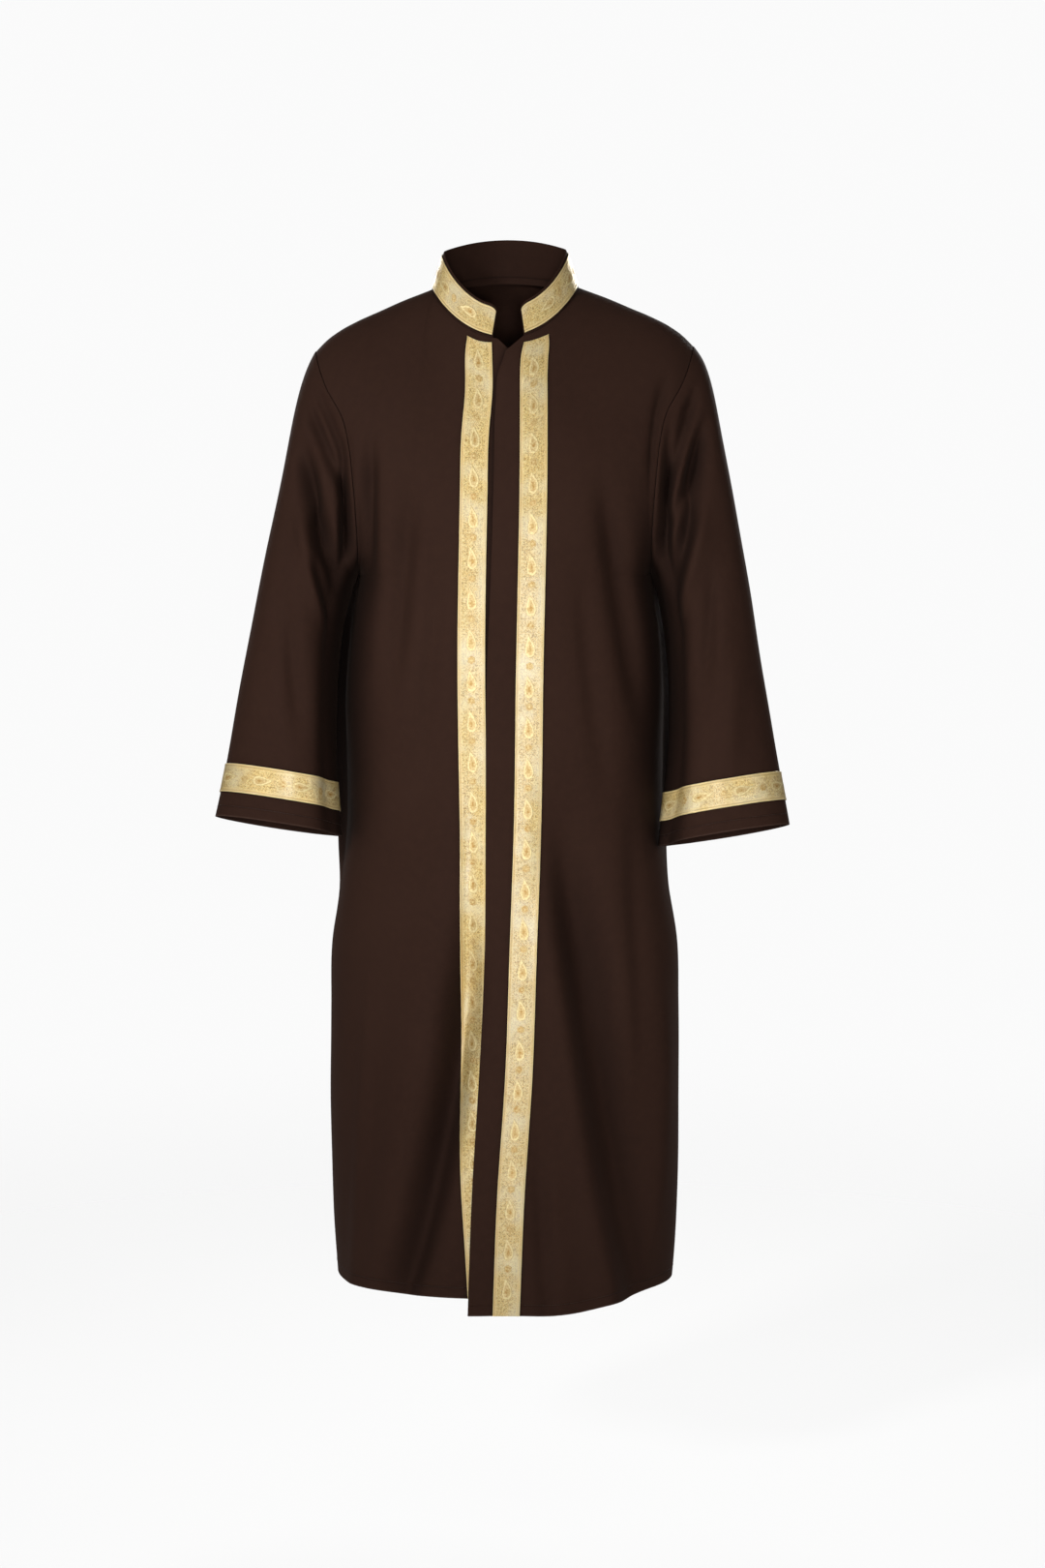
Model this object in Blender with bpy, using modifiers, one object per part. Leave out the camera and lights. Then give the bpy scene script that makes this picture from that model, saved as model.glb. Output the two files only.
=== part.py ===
"""Open-front long robe with a stand collar, in the hollow form it keeps when worn.

Metres. +Z is up, the front faces -Y and +X is the wearer's left. The origin is the middle
of the neck base, where the wearer's neck and shoulders hold the robe up.

Each cut piece of cloth is a grid of points laid over one rule for the body or one for the
sleeve, and Solidify gives it its thickness inwards, so each piece is one closed solid.
The ribbons are made from the points of the cloth below them, moved out.
"""

from collections import namedtuple

import bpy
import numpy as np

# ---------------------------------------------------------------- cloth and seams
WALL = 0.0016             # robe cloth
RIBBON_WALL = 0.0009      # woven gold ribbon
SEAM_GAP = 0.0003         # between two pieces that are sewn together
SHOULDER_SEAM_GAP = 0.0009  # at the outer face of the round shoulder; the inner faces come closer
ARMHOLE_GAP = 0.0009      # the sleeve's first ring stands this far out from the body
COLLAR_GAP = 0.0006       # the stand's lower edge above the neckline
RIBBON_WIDTH = 0.0350
LAP_LIFT = 0.0042         # how far the left front lies over the right one
LAP_START = 0.125         # the lift begins this far from the centre
LAP_FULL = 0.050          # and is whole from here inwards

# ---------------------------------------------------------------- body
ARMPIT = -0.342
SHOULDER_ROUND = 2.2      # how the chest and back turn over onto the shoulder
SHOULDER_START = -0.280   # height where that turn begins
SHOULDER_TILT = 0.014     # the left shoulder is a little higher
TILT_RISE = 0.2           # the tilt builds up over this height above the armpit
SHOULDER_END = 0.228      # half width at the shoulder points

# `round` is the plan's shape: 2 is an ellipse, more is squarer.
Girth = namedtuple("Girth", "height half_width front_depth back_depth round")
SKIRT = [
    Girth(-1.230, 0.2065, 0.1570, 0.1470, 2.25),
    Girth(-1.146, 0.2125, 0.1530, 0.1430, 2.25),
    Girth(-1.000, 0.2150, 0.1470, 0.1380, 2.25),
    Girth(-0.870, 0.2148, 0.1420, 0.1330, 2.25),
    Girth(-0.790, 0.2125, 0.1390, 0.1290, 2.30),
    Girth(-0.720, 0.2010, 0.1370, 0.1260, 2.35),
    Girth(-0.650, 0.1940, 0.1360, 0.1230, 2.40),
    Girth(-0.560, 0.1935, 0.1350, 0.1200, 2.40),
    Girth(-0.480, 0.1935, 0.1350, 0.1180, 2.40),
    Girth(-0.420, 0.1890, 0.1350, 0.1190, 2.50),
    Girth(ARMPIT, 0.1770, 0.1340, 0.1220, 2.72),
]

# Above the armpit the round is open at the sides: `half_width` is where it would close.
Yoke = namedtuple("Yoke", "height half_width front_depth back_depth round front_armhole back_armhole")
YOKE = [
    Yoke(ARMPIT, 0.1770, 0.1340, 0.1220, 2.72, 0.1770, 0.1770),
    Yoke(-0.325, 0.1845, 0.1330, 0.1230, 2.65, 0.1755, 0.1780),
    Yoke(-0.276, 0.2050, 0.1310, 0.1250, 2.45, 0.1765, 0.1840),
    Yoke(-0.227, 0.2300, 0.1270, 0.1270, 2.30, 0.1800, 0.1910),
    Yoke(-0.186, 0.2470, 0.1210, 0.1270, 2.30, 0.1845, 0.1960),
    Yoke(-0.151, 0.2590, 0.1150, 0.1260, 2.30, 0.1930, 0.2030),
    Yoke(-0.117, 0.2800, 0.1090, 0.1240, 2.30, 0.2120, 0.2150),
    Yoke(-0.070, 0.3000, 0.1020, 0.1210, 2.30, SHOULDER_END, SHOULDER_END),
    Yoke(0.060, 0.3000, 0.0980, 0.1180, 2.30, SHOULDER_END, SHOULDER_END),
]

# Height of the shoulder's ridge. Inside the neck it only shapes the chest and back.
Ridge = namedtuple("Ridge", "across height")
SHOULDER = [
    Ridge(0.000, 0.0420),
    Ridge(0.088, 0.0020),
    Ridge(0.124, -0.0115),
    Ridge(0.151, -0.0231),
    Ridge(0.178, -0.0347),
    Ridge(0.200, -0.0463),
    Ridge(0.216, -0.0579),
    Ridge(SHOULDER_END, -0.0700),
    Ridge(0.300, -0.1600),
]

# ---------------------------------------------------------------- neckline and hem
NECK_HALF_WIDTH = 0.088
NECK_SIDE_HEIGHT = 0.002
NECK_FRONT_DROP = 0.064
NECK_FRONT_CURVE = 0.8
NECK_BACK_RISE = 0.016
CORNER_SLOPE = 1.0        # the front's upper corner falls away from the collar's end

Hem = namedtuple("Hem", "across left right")
HEM = [
    Hem(0.000, -1.2235, -1.2040),
    Hem(0.080, -1.2235, -1.2040),
    Hem(0.137, -1.2165, -1.2040),
    Hem(0.180, -1.2110, -1.2040),
    Hem(0.215, -1.2110, -1.2040),
]

# Each front: distance from the robe's centre to its free edge and to its ribbon, by height,
# counted towards its own side, so an edge that laps past the centre is negative.
Front = namedtuple("Front", "height edge ribbon")
FRONT_LEFT = [
    Front(-1.230, -0.0443, -0.0157),
    Front(-1.078, -0.0388, -0.0097),
    Front(-0.936, -0.0304, -0.0003),
    Front(-0.784, -0.0233, 0.0050),
    Front(-0.633, -0.0220, 0.0102),
    Front(-0.461, -0.0206, 0.0125),
    Front(-0.347, -0.0159, 0.0148),
    Front(-0.234, -0.0124, 0.0168),
    Front(-0.133, -0.0100, 0.0171),
    Front(-0.104, -0.0078, 0.0171),
    Front(-0.081, 0.0002, 0.0185),
    Front(-0.062, 0.0040, 0.0225),
    Front(-0.040, 0.0050, 0.0235),
]
FRONT_RIGHT = [
    Front(-1.230, -0.0220, 0.0085),
    Front(-1.149, -0.0168, 0.0132),
    Front(-1.078, -0.0123, 0.0177),
    Front(-0.936, -0.0091, 0.0209),
    Front(-0.656, -0.0108, 0.0192),
    Front(-0.415, -0.0090, 0.0210),
    Front(-0.245, -0.0117, 0.0183),
    Front(-0.177, -0.0130, 0.0170),
    Front(-0.120, -0.0120, 0.0128),
    Front(-0.081, -0.0050, 0.0135),
    Front(-0.062, -0.0030, 0.0142),
    Front(-0.040, -0.0030, 0.0142),
]
COLLAR_END_LEFT = 0.0215
COLLAR_END_RIGHT = 0.0085
RIBBON_TOP_DROP = 0.0105  # the front ribbon is cut square, so its outer corner is lower
RIBBON_TOP_REACH = 6      # how steeply that drop dies away down the rows below

# ---------------------------------------------------------------- folds
# A fold is a soft trough (negative depth) or ridge that runs down through three places.
# `low_end` is the share of its depth that is left at its lower end.
Fold = namedtuple("Fold", "top_height top_x middle_x low_x low_height depth width low_end")
FOLD_GROWTH = 0.35        # share of a fold's length in which it reaches its depth
FOLD_FADE = 0.6           # and the share after which it dies away towards `low_end`
FOLD_HOLD_COLUMNS = 2.0   # columns beside a sewn edge over which the folds die away
FOLD_HOLD_YOKE = 0.25     # and the share of the yoke below the shoulder and the neckline
FRONT_FOLDS = [
    Fold(-0.640, -0.062, -0.080, -0.122, -1.260, -0.0134, 0.0300, 1.0),
    Fold(-0.950, -0.078, -0.100, -0.134, -1.260, 0.0072, 0.0180, 1.0),
    Fold(-0.600, -0.150, -0.158, -0.164, -1.260, -0.0064, 0.0180, 1.0),
    Fold(-0.620, 0.056, 0.084, 0.150, -1.260, -0.0144, 0.0310, 1.0),
    Fold(-0.850, 0.078, 0.098, 0.118, -1.260, 0.0080, 0.0180, 1.0),
    Fold(-0.780, 0.182, 0.195, 0.172, -1.260, 0.0064, 0.0180, 0.6),
    Fold(-0.170, -0.156, -0.163, -0.168, -0.420, -0.0080, 0.0180, 0.0),
    Fold(-0.210, -0.108, -0.124, -0.142, -0.520, -0.0080, 0.0180, 0.0),
    Fold(-0.200, 0.112, 0.143, 0.172, -0.560, -0.0100, 0.0180, 0.0),
]
BACK_FOLDS = [
    Fold(-0.300, -0.060, -0.078, -0.105, -1.260, -0.0134, 0.0280, 1.0),
    Fold(-0.420, 0.050, 0.080, 0.098, -1.260, -0.0126, 0.0300, 1.0),
    Fold(-0.560, -0.010, 0.004, 0.012, -1.260, 0.0084, 0.0220, 1.0),
    Fold(-0.800, 0.150, 0.158, 0.162, -1.260, -0.0076, 0.0180, 1.0),
    Fold(-0.760, -0.158, -0.164, -0.160, -1.260, 0.0067, 0.0180, 1.0),
    Fold(-0.130, -0.150, -0.128, -0.112, -0.420, -0.0076, 0.0180, 0.0),
    Fold(-0.140, 0.155, 0.136, 0.118, -0.400, -0.0084, 0.0180, 0.0),
]

# ---------------------------------------------------------------- sleeves
# The cuff is a leaning ellipse round a centre. `lean` is how much higher its outer end is,
# `back_drop` how much lower its back is than its front, since the arm hangs a little forward,
# and `swell` how far the sleeve stands out below the shoulder point.
Sleeve = namedtuple("Sleeve", "x y z half_width half_depth lean back_drop swell")
SLEEVE_LEFT = Sleeve(0.2648, -0.060, -0.6565, 0.0800, 0.047, 0.0261, 0.0190, 0.0165)
SLEEVE_RIGHT = Sleeve(0.2735, -0.060, -0.6450, 0.0779, 0.047, 0.0237, 0.0190, 0.0115)
SWELL_START = 0.05        # share of the sleeve's length over which the swell builds up
INNER_SWELL = 0.0170      # the sleeve is held off the body under the arm
INNER_SKEW = 0.8          # below 1 that is fullest above the middle
DEPTH_SWELL = 0.0080      # fullness to the front and back at mid arm
CAP_BOW = 0.0200          # the cloth leaves the armhole outwards before it falls
CAP_BOW_PEAK = 4.0 / 27.0  # the highest that share * (1 - share) ** 2 comes
SLEEVE_HOLD = 0.08        # share of the length in which the folds fade towards the armhole
CUFF_EDGE_TO_RIBBON = 0.0300

SLEEVE_FOLDS_LEFT_FRONT = [
    Fold(-0.100, 0.232, 0.214, 0.186, -0.262, -0.0061, 0.0165, 0.0),
    Fold(-0.190, 0.240, 0.222, 0.190, -0.372, -0.0115, 0.0182, 0.4),
    Fold(-0.290, 0.254, 0.243, 0.232, -0.520, -0.0054, 0.0196, 0.0),
]
SLEEVE_FOLDS_LEFT_BACK = [
    Fold(-0.120, 0.236, 0.220, 0.196, -0.270, -0.0061, 0.0168, 0.0),
    Fold(-0.210, 0.250, 0.228, 0.200, -0.390, -0.0108, 0.0196, 0.4),
    Fold(-0.330, 0.262, 0.250, 0.244, -0.560, -0.0054, 0.0224, 0.0),
]
SLEEVE_FOLDS_RIGHT_FRONT = [
    Fold(-0.110, 0.238, 0.216, 0.186, -0.245, -0.0061, 0.0165, 0.0),
    Fold(-0.180, 0.252, 0.226, 0.190, -0.372, -0.0121, 0.0182, 0.4),
    Fold(-0.300, 0.262, 0.240, 0.226, -0.540, -0.0061, 0.0210, 0.0),
]
SLEEVE_FOLDS_RIGHT_BACK = [
    Fold(-0.110, 0.232, 0.222, 0.200, -0.250, -0.0061, 0.0168, 0.0),
    Fold(-0.200, 0.246, 0.224, 0.198, -0.380, -0.0115, 0.0196, 0.4),
    Fold(-0.340, 0.258, 0.250, 0.240, -0.570, -0.0054, 0.0224, 0.0),
]

# ---------------------------------------------------------------- collar
COLLAR_HEIGHT = 0.0440
COLLAR_RISE_FRONT = 0.0385
COLLAR_RISE_SIDE = 0.0450
COLLAR_LEAN = 0.150       # how much smaller its plan is at the top
COLLAR_CORNER = 0.0110    # radius of the round front corners
COLLAR_CORNER_STEPS = (0.0012, 0.0035, 0.0070, 0.0110)  # columns beside each front end
COLLAR_CLOTH_BELOW = 0.0030  # cloth that shows below and above the collar's ribbon
COLLAR_CLOTH_ABOVE = 0.0035

# A panel's columns: how far each has turned from the side to the inner line, and its shares
# of the ribbon's width and of the margin beyond it.
Columns = namedtuple("Columns", "turn ribbon margin")

# ---------------------------------------------------------------- mesh density
SKIRT_ROWS = 14
YOKE_ROWS = 13
SEAM_COLUMNS = 7
NECK_COLUMNS = 6
RIBBON_COLUMNS = 2
SLEEVE_ROWS = 15
SLEEVE_CROWDING = 1.3     # above 1 the rings lie closer together near the armhole


def smooth(at):
    """0 below 0, 1 above 1, and a soft step between them."""
    at = np.clip(at, 0.0, 1.0)
    return at * at * (3.0 - 2.0 * at)


def curve(table, key, value, at):
    """A column of a table read at any place by a smooth curve through its rows."""
    places = np.array([getattr(row, key) for row in table])
    values = np.array([getattr(row, value) for row in table])
    slopes = np.gradient(values, places)
    at = np.clip(at, places[0], places[-1])
    index = np.clip(np.searchsorted(places, at, side="right") - 1, 0, len(places) - 2)
    span = places[index + 1] - places[index]
    part = (at - places[index]) / span
    start = values[index] * (1.0 + 2.0 * part) + slopes[index] * span * part
    end = values[index + 1] * (3.0 - 2.0 * part) - slopes[index + 1] * span * (1.0 - part)
    return start * (1.0 - part) ** 2 + end * part ** 2


def body_size(value, height):
    """Half width or depth of the body at a height: the skirt's table or the yoke's."""
    low = curve(SKIRT, "height", value, np.minimum(height, ARMPIT))
    high = curve(YOKE, "height", value, np.maximum(height, ARMPIT))
    return np.where(height < ARMPIT, low, high)


def body_depth(depth_name, across, height):
    """How far the body's surface stands from the side plane."""
    share = np.clip(np.abs(across) / body_size("half_width", height), 0.0, 1.0)
    power = body_size("round", height)
    plan = (1.0 - share ** power) ** (1.0 / power)
    ridge = curve(SHOULDER, "across", "height", np.abs(across))
    rise = np.clip((height - SHOULDER_START) / (ridge - SHOULDER_START), 0.0, 1.0)
    turn = (1.0 - rise ** SHOULDER_ROUND) ** (1.0 / SHOULDER_ROUND)
    return body_size(depth_name, height) * plan * turn


def front_neckline(across, collar_end):
    """Height of a front's upper edge inside the neck, falling off past the collar's end."""
    inside = np.maximum(across, collar_end)
    bow = np.clip(1.0 - (inside / NECK_HALF_WIDTH) ** 2, 0.0, 1.0)
    corner = CORNER_SLOPE * (inside - across)
    return NECK_SIDE_HEIGHT - NECK_FRONT_DROP * bow ** NECK_FRONT_CURVE - corner


def back_neckline(across):
    """Height of the back's upper edge inside the neck."""
    bow = np.clip(1.0 - (across / NECK_HALF_WIDTH) ** 2, 0.0, 1.0)
    return NECK_SIDE_HEIGHT + NECK_BACK_RISE * bow


def yoke_rise(yoke):
    """Rows above the armpit crowd at both ends, as points round an armhole do."""
    return (1.0 - np.cos(np.pi * yoke)) / 2.0


def grid_normals(points, ring=False):
    """Unit normals of a grid of points; a ring's last column meets its first."""
    if ring:
        points = np.concatenate([points[:, -1:], points, points[:, :1]], axis=1)
    normals = np.cross(np.gradient(points, axis=0), np.gradient(points, axis=1))
    normals /= np.linalg.norm(normals, axis=2, keepdims=True) + 1e-12
    return normals[:, 1:-1] if ring else normals


def fold_field(folds, x, height):
    """Sum of the folds' depths at places seen from the front."""
    total = np.zeros_like(x)
    for fold in folds:
        share = (fold.top_height - height) / (fold.top_height - fold.low_height)
        part = np.clip(share, 0.0, 1.0)
        line = (fold.top_x * (1.0 - part) * (1.0 - 2.0 * part)
                + fold.middle_x * 4.0 * part * (1.0 - part)
                + fold.low_x * part * (2.0 * part - 1.0))
        fade = 1.0 - (1.0 - fold.low_end) * smooth((share - FOLD_FADE) / (1.0 - FOLD_FADE))
        strength = smooth(share / FOLD_GROWTH) * fade
        total += fold.depth * strength * np.exp(-((x - line) / fold.width) ** 2)
    return total


def panel_rows():
    """Shares along the skirt (hem to armpit) and the yoke (armpit to shoulder)."""
    skirt = np.linspace(0.0, 1.0, SKIRT_ROWS + 1)[:-1, None]
    yoke = np.linspace(0.0, 1.0, YOKE_ROWS + 1)[:, None]
    return skirt, yoke


def hold_rows():
    """1 over the cloth and 0 along the shoulder seam and the neckline."""
    skirt, yoke = panel_rows()
    return np.concatenate([np.ones_like(skirt), smooth((1.0 - yoke) / FOLD_HOLD_YOKE)])


def inner_line(fronts, height):
    """Where a panel's main columns end: at a front's ribbon, or at the back's middle."""
    if fronts is None:
        return np.zeros_like(height)
    return curve(fronts, "height", "ribbon", height) + RIBBON_WIDTH


def past_inner(fronts, columns, height):
    """How far the columns of the ribbon and of the margin lie beyond the inner line."""
    if fronts is None:
        return np.zeros_like(height)
    margin = curve(fronts, "height", "ribbon", height) - curve(fronts, "height", "edge", height)
    return RIBBON_WIDTH * columns.ribbon + margin * columns.margin


def lay_panel(names, fronts, columns, top_x, top_height, hem_line, sag):
    """Rows from hem to shoulder of places (across, depth, height) on the body's surface.

    The columns run from the side seam and the armhole towards the middle. Round the skirt
    they are spaced by angle, and up the yoke they move over to their places at the top.
    """
    depth_name, armhole_name = names
    skirt, yoke = panel_rows()

    def spaced(height):
        width = body_size("half_width", height)
        power = body_size("round", height)
        last = np.arccos((inner_line(fronts, height) / width) ** (power / 2.0))
        return width * np.abs(np.cos(columns.turn * last)) ** (2.0 / power)

    def ended(main, height):
        return main - past_inner(fronts, columns, height)

    level = np.full((1, len(top_x)), HEM[0].left)
    hem = hem_line(ended(spaced(level), level))
    low = hem + (ARMPIT - hem) * skirt
    low_x = ended(spaced(low), low)

    last_row = 1.0 - 1.0 / YOKE_ROWS
    pull = np.where(yoke <= last_row, (yoke / last_row) ** RIBBON_TOP_REACH, (1.0 - yoke) * YOKE_ROWS)
    high = ARMPIT + (top_height - ARMPIT) * yoke_rise(yoke) - sag * pull
    armpit_x = spaced(np.full((1, len(top_x)), ARMPIT))
    top_main = top_x + past_inner(fronts, columns, top_height)
    low_share = (armpit_x - armpit_x[:, :1]) / (armpit_x[:, -1:] - armpit_x[:, :1])
    top_share = (top_main - top_main[0]) / (top_main[-1] - top_main[0])
    share = low_share + (top_share - low_share) * smooth(yoke)
    outer = curve(YOKE, "height", armhole_name, high[:, :1])
    high_x = ended(outer + (inner_line(fronts, high) - outer) * share, high)

    across = np.concatenate([low_x, high_x])
    height = np.concatenate([low, high])
    return across, body_depth(depth_name, across, height), height


def place_in_world(x, y, height):
    """Stack coordinates into points and tilt the shoulders."""
    tilt = SHOULDER_TILT * x * smooth((height - ARMPIT) / TILT_RISE)
    return np.stack([x, y, height + tilt], axis=2)


def fold_panel(points, folds, hold):
    """Press the folds into a panel along its normals; `hold` is 0 where seams keep it."""
    normals = grid_normals(points)
    depth = fold_field(folds, points[:, :, 0], points[:, :, 2]) * np.abs(normals[:, :, 1])
    return points + normals * (depth * hold)[:, :, None]


def front_points(side, fronts, collar_end, lift):
    """Points of a front panel: rows from hem to shoulder, columns in the direction of -X."""
    main = SEAM_COLUMNS + NECK_COLUMNS + 1
    ribbon = np.linspace(0.0, 1.0, RIBBON_COLUMNS + 1)[1:]
    columns = Columns(np.concatenate([np.linspace(0.0, 1.0, main), np.ones(len(ribbon) + 1)]),
                      np.concatenate([np.zeros(main), ribbon, [1.0]]),
                      np.concatenate([np.zeros(main + len(ribbon)), [1.0]]))
    neck_front = np.full(len(columns.turn), NECK_SIDE_HEIGHT - NECK_FRONT_DROP)
    top_x = inner_line(fronts, neck_front) - past_inner(fronts, columns, neck_front)
    last = np.arccos(top_x[main - 1] / NECK_HALF_WIDTH)
    top_x[:SEAM_COLUMNS + 1] = np.linspace(SHOULDER_END, NECK_HALF_WIDTH, SEAM_COLUMNS + 1)
    top_x[SEAM_COLUMNS:main] = NECK_HALF_WIDTH * np.cos(np.linspace(0.0, last, NECK_COLUMNS + 1))
    neckline = front_neckline(np.minimum(top_x, NECK_HALF_WIDTH), collar_end)
    ridge = curve(SHOULDER, "across", "height", top_x)
    top_height = np.where(np.arange(len(top_x)) <= SEAM_COLUMNS, ridge, neckline)
    drop_places = [top_x[-2], top_x[main - 1], NECK_HALF_WIDTH]
    sag = np.interp(top_x, drop_places, [0.0, RIBBON_TOP_DROP, 0.0])

    def hem_line(across):
        return curve(HEM, "across", "left" if side > 0 else "right", np.abs(across))

    across, depth, height = lay_panel(("front_depth", "front_armhole"), fronts, columns,
                                      top_x, top_height, hem_line, sag)
    raised = lift * smooth((LAP_START - across) / (LAP_START - LAP_FULL))
    points = place_in_world(side * across, -depth - raised - SEAM_GAP / 2.0, height)
    hold = hold_rows() * smooth(np.arange(len(top_x)) / FOLD_HOLD_COLUMNS)
    points[-1, :SEAM_COLUMNS + 1, 1] -= (SHOULDER_SEAM_GAP - SEAM_GAP) / 2.0
    if side < 0:
        points, hold = points[:, ::-1], hold[:, ::-1]
    return fold_panel(points, FRONT_FOLDS, hold)


def back_points():
    """Points of the back: rows from hem to shoulder, columns in the direction of +X."""
    columns = Columns(np.linspace(0.0, 1.0, SEAM_COLUMNS + NECK_COLUMNS + 1), None, None)
    seam_x = np.linspace(SHOULDER_END, NECK_HALF_WIDTH, SEAM_COLUMNS + 1)
    turn = np.linspace(0.0, np.pi / 2.0, NECK_COLUMNS + 1)[1:]
    top_x = np.concatenate([seam_x, NECK_HALF_WIDTH * np.cos(turn)])
    ridge = curve(SHOULDER, "across", "height", top_x)
    top_height = np.where(np.arange(len(top_x)) <= SEAM_COLUMNS, ridge, back_neckline(top_x))
    middle = (HEM[-1].right + HEM[-1].left) / 2.0
    halves = []
    for side, end in ((-1.0, HEM[-1].right), (1.0, HEM[-1].left)):
        def hem_line(across):
            return middle + (end - middle) * smooth(across / HEM[-2].across)

        across, depth, height = lay_panel(("back_depth", "back_armhole"), None, columns,
                                          top_x, top_height, hem_line, np.zeros_like(top_x))
        half = place_in_world(side * across, depth + SEAM_GAP / 2.0, height)
        half[-1, :SEAM_COLUMNS + 1, 1] += (SHOULDER_SEAM_GAP - SEAM_GAP) / 2.0
        halves.append(half)
    points = np.concatenate([halves[0], halves[1][:, -2::-1]], axis=1)
    from_edge = np.minimum(np.arange(points.shape[1]), np.arange(points.shape[1])[::-1])
    return fold_panel(points, BACK_FOLDS, hold_rows() * smooth(from_edge / FOLD_HOLD_COLUMNS))


def sleeve_points(side, front, back, sleeve, front_folds, back_folds):
    """Points of a sleeve: rings from the armhole to the cuff, armpit first."""
    front_edge = front[SKIRT_ROWS:, 0 if side > 0 else -1]
    back_edge = back[SKIRT_ROWS:, -1 if side > 0 else 0]
    top = (front_edge[-1] + back_edge[-1]) / 2.0
    bottom = (front_edge[0] + back_edge[0]) / 2.0
    armhole = np.concatenate([[bottom], front_edge[1:-1], [top], back_edge[-2:0:-1]])
    armhole[:, 0] += side * ARMHOLE_GAP
    angle = 2.0 * np.pi * np.arange(len(armhole)) / len(armhole)

    outward = np.array([side, 0.0, sleeve.lean / (2.0 * sleeve.half_width)])
    backward = np.array([0.0, 1.0, -sleeve.back_drop / (2.0 * sleeve.half_depth)])
    outward /= np.linalg.norm(outward)
    backward /= np.linalg.norm(backward)
    end = (np.array([side * sleeve.x, sleeve.y, sleeve.z])
           - np.cos(angle)[:, None] * sleeve.half_width * outward
           - np.sin(angle)[:, None] * sleeve.half_depth * backward)

    length = np.linalg.norm(end - armhole, axis=1)[None, :]
    band = CUFF_EDGE_TO_RIBBON + RIBBON_WIDTH * np.linspace(1.0, 0.0, RIBBON_COLUMNS + 1)
    rows = np.linspace(0.0, 1.0, SLEEVE_ROWS + 1)[:-1, None] ** SLEEVE_CROWDING
    main = rows * (1.0 - band[0] / length)
    along = np.concatenate([main, 1.0 - np.append(band, 0.0)[:, None] / length])
    points = armhole[None] + (end - armhole)[None] * along[:, :, None]

    inner_share = (1.0 + np.cos(angle))[None, :] / 2.0
    outer = sleeve.swell * (1.0 - np.exp(-along / SWELL_START)) * (1.0 - along)
    inner = INNER_SWELL * np.sin(np.pi * along ** INNER_SKEW)
    bow = CAP_BOW / CAP_BOW_PEAK * along * (1.0 - along) ** 2 * np.sin(angle)[None, :] ** 2
    points[:, :, 0] += side * (outer * (1.0 - inner_share) + inner * inner_share + bow)
    points[:, :, 1] -= DEPTH_SWELL * np.sin(np.pi * along) * np.sin(angle)[None, :]
    if side < 0:
        points, along = points[:, ::-1], along[:, ::-1]

    normals = grid_normals(points, ring=True)
    across, height = np.abs(points[:, :, 0]), points[:, :, 2]
    depth = (fold_field(front_folds, across, height) * np.clip(-normals[:, :, 1], 0.0, 1.0)
             + fold_field(back_folds, across, height) * np.clip(normals[:, :, 1], 0.0, 1.0))
    return points + normals * (depth * smooth(along / SLEEVE_HOLD))[:, :, None]


def neck_ring(right, back, left):
    """The upper edges round the neck, from the right ribbon by the back to the left one."""
    past = SEAM_COLUMNS + NECK_COLUMNS + RIBBON_COLUMNS
    right_part = right[-1, 1:past - SEAM_COLUMNS + 1]
    back_part = back[-1, SEAM_COLUMNS + 1:-SEAM_COLUMNS - 1]
    left_part = left[-1, SEAM_COLUMNS + 1:past + 1]
    sides = [(right[-1, past - SEAM_COLUMNS + 1] + back[-1, SEAM_COLUMNS]) / 2.0,
             (left[-1, SEAM_COLUMNS] + back[-1, -SEAM_COLUMNS - 1]) / 2.0]
    return np.concatenate([right_part, sides[:1], back_part, sides[1:], left_part])


def collar_points(ring):
    """Points of the stand: rows upwards, columns from the right front round the neck."""
    walk = np.concatenate([[0.0], np.cumsum(np.linalg.norm(np.diff(ring, axis=0), axis=1))])
    steps = np.array(COLLAR_CORNER_STEPS)
    places = np.unique(np.concatenate([walk, steps, walk[-1] - steps]))
    foot = np.stack([np.interp(places, walk, ring[:, axis]) for axis in range(3)], axis=1)
    foot[:, 2] += COLLAR_GAP

    back_share = smooth((foot[:, 1] - foot[:, 1].min()) / -foot[:, 1].min())
    rise = COLLAR_RISE_FRONT + (COLLAR_RISE_SIDE - COLLAR_RISE_FRONT) * back_share
    centre = (foot.min(axis=0) + foot.max(axis=0)) / 2.0
    reach = (centre - foot) * COLLAR_LEAN * np.array([1.0, 1.0, 0.0])
    top = foot + reach + rise[:, None] * np.array([0.0, 0.0, 1.0])

    from_end = np.minimum(places, walk[-1] - places)
    inset = np.clip(COLLAR_CORNER - from_end, 0.0, COLLAR_CORNER)
    cut = COLLAR_CORNER - np.sqrt(COLLAR_CORNER ** 2 - inset ** 2)
    full = 1.0 - cut / COLLAR_HEIGHT
    ribbon_top = 1.0 - COLLAR_CLOTH_ABOVE / COLLAR_HEIGHT
    ribbon_low = COLLAR_CLOTH_BELOW / COLLAR_HEIGHT
    middle = np.linspace(ribbon_low, ribbon_top, RIBBON_COLUMNS + 1)
    share = np.concatenate([[0.0], middle, [1.0]])[:, None] * full
    return foot + (top - foot) * share[:, :, None]


def ribbon_on(points, rows, columns, ring=False):
    """The points of the cloth under a ribbon, moved out to the ribbon's outer face."""
    out = points + grid_normals(points, ring) * (SEAM_GAP + RIBBON_WALL)
    return out[rows, columns]


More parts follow.
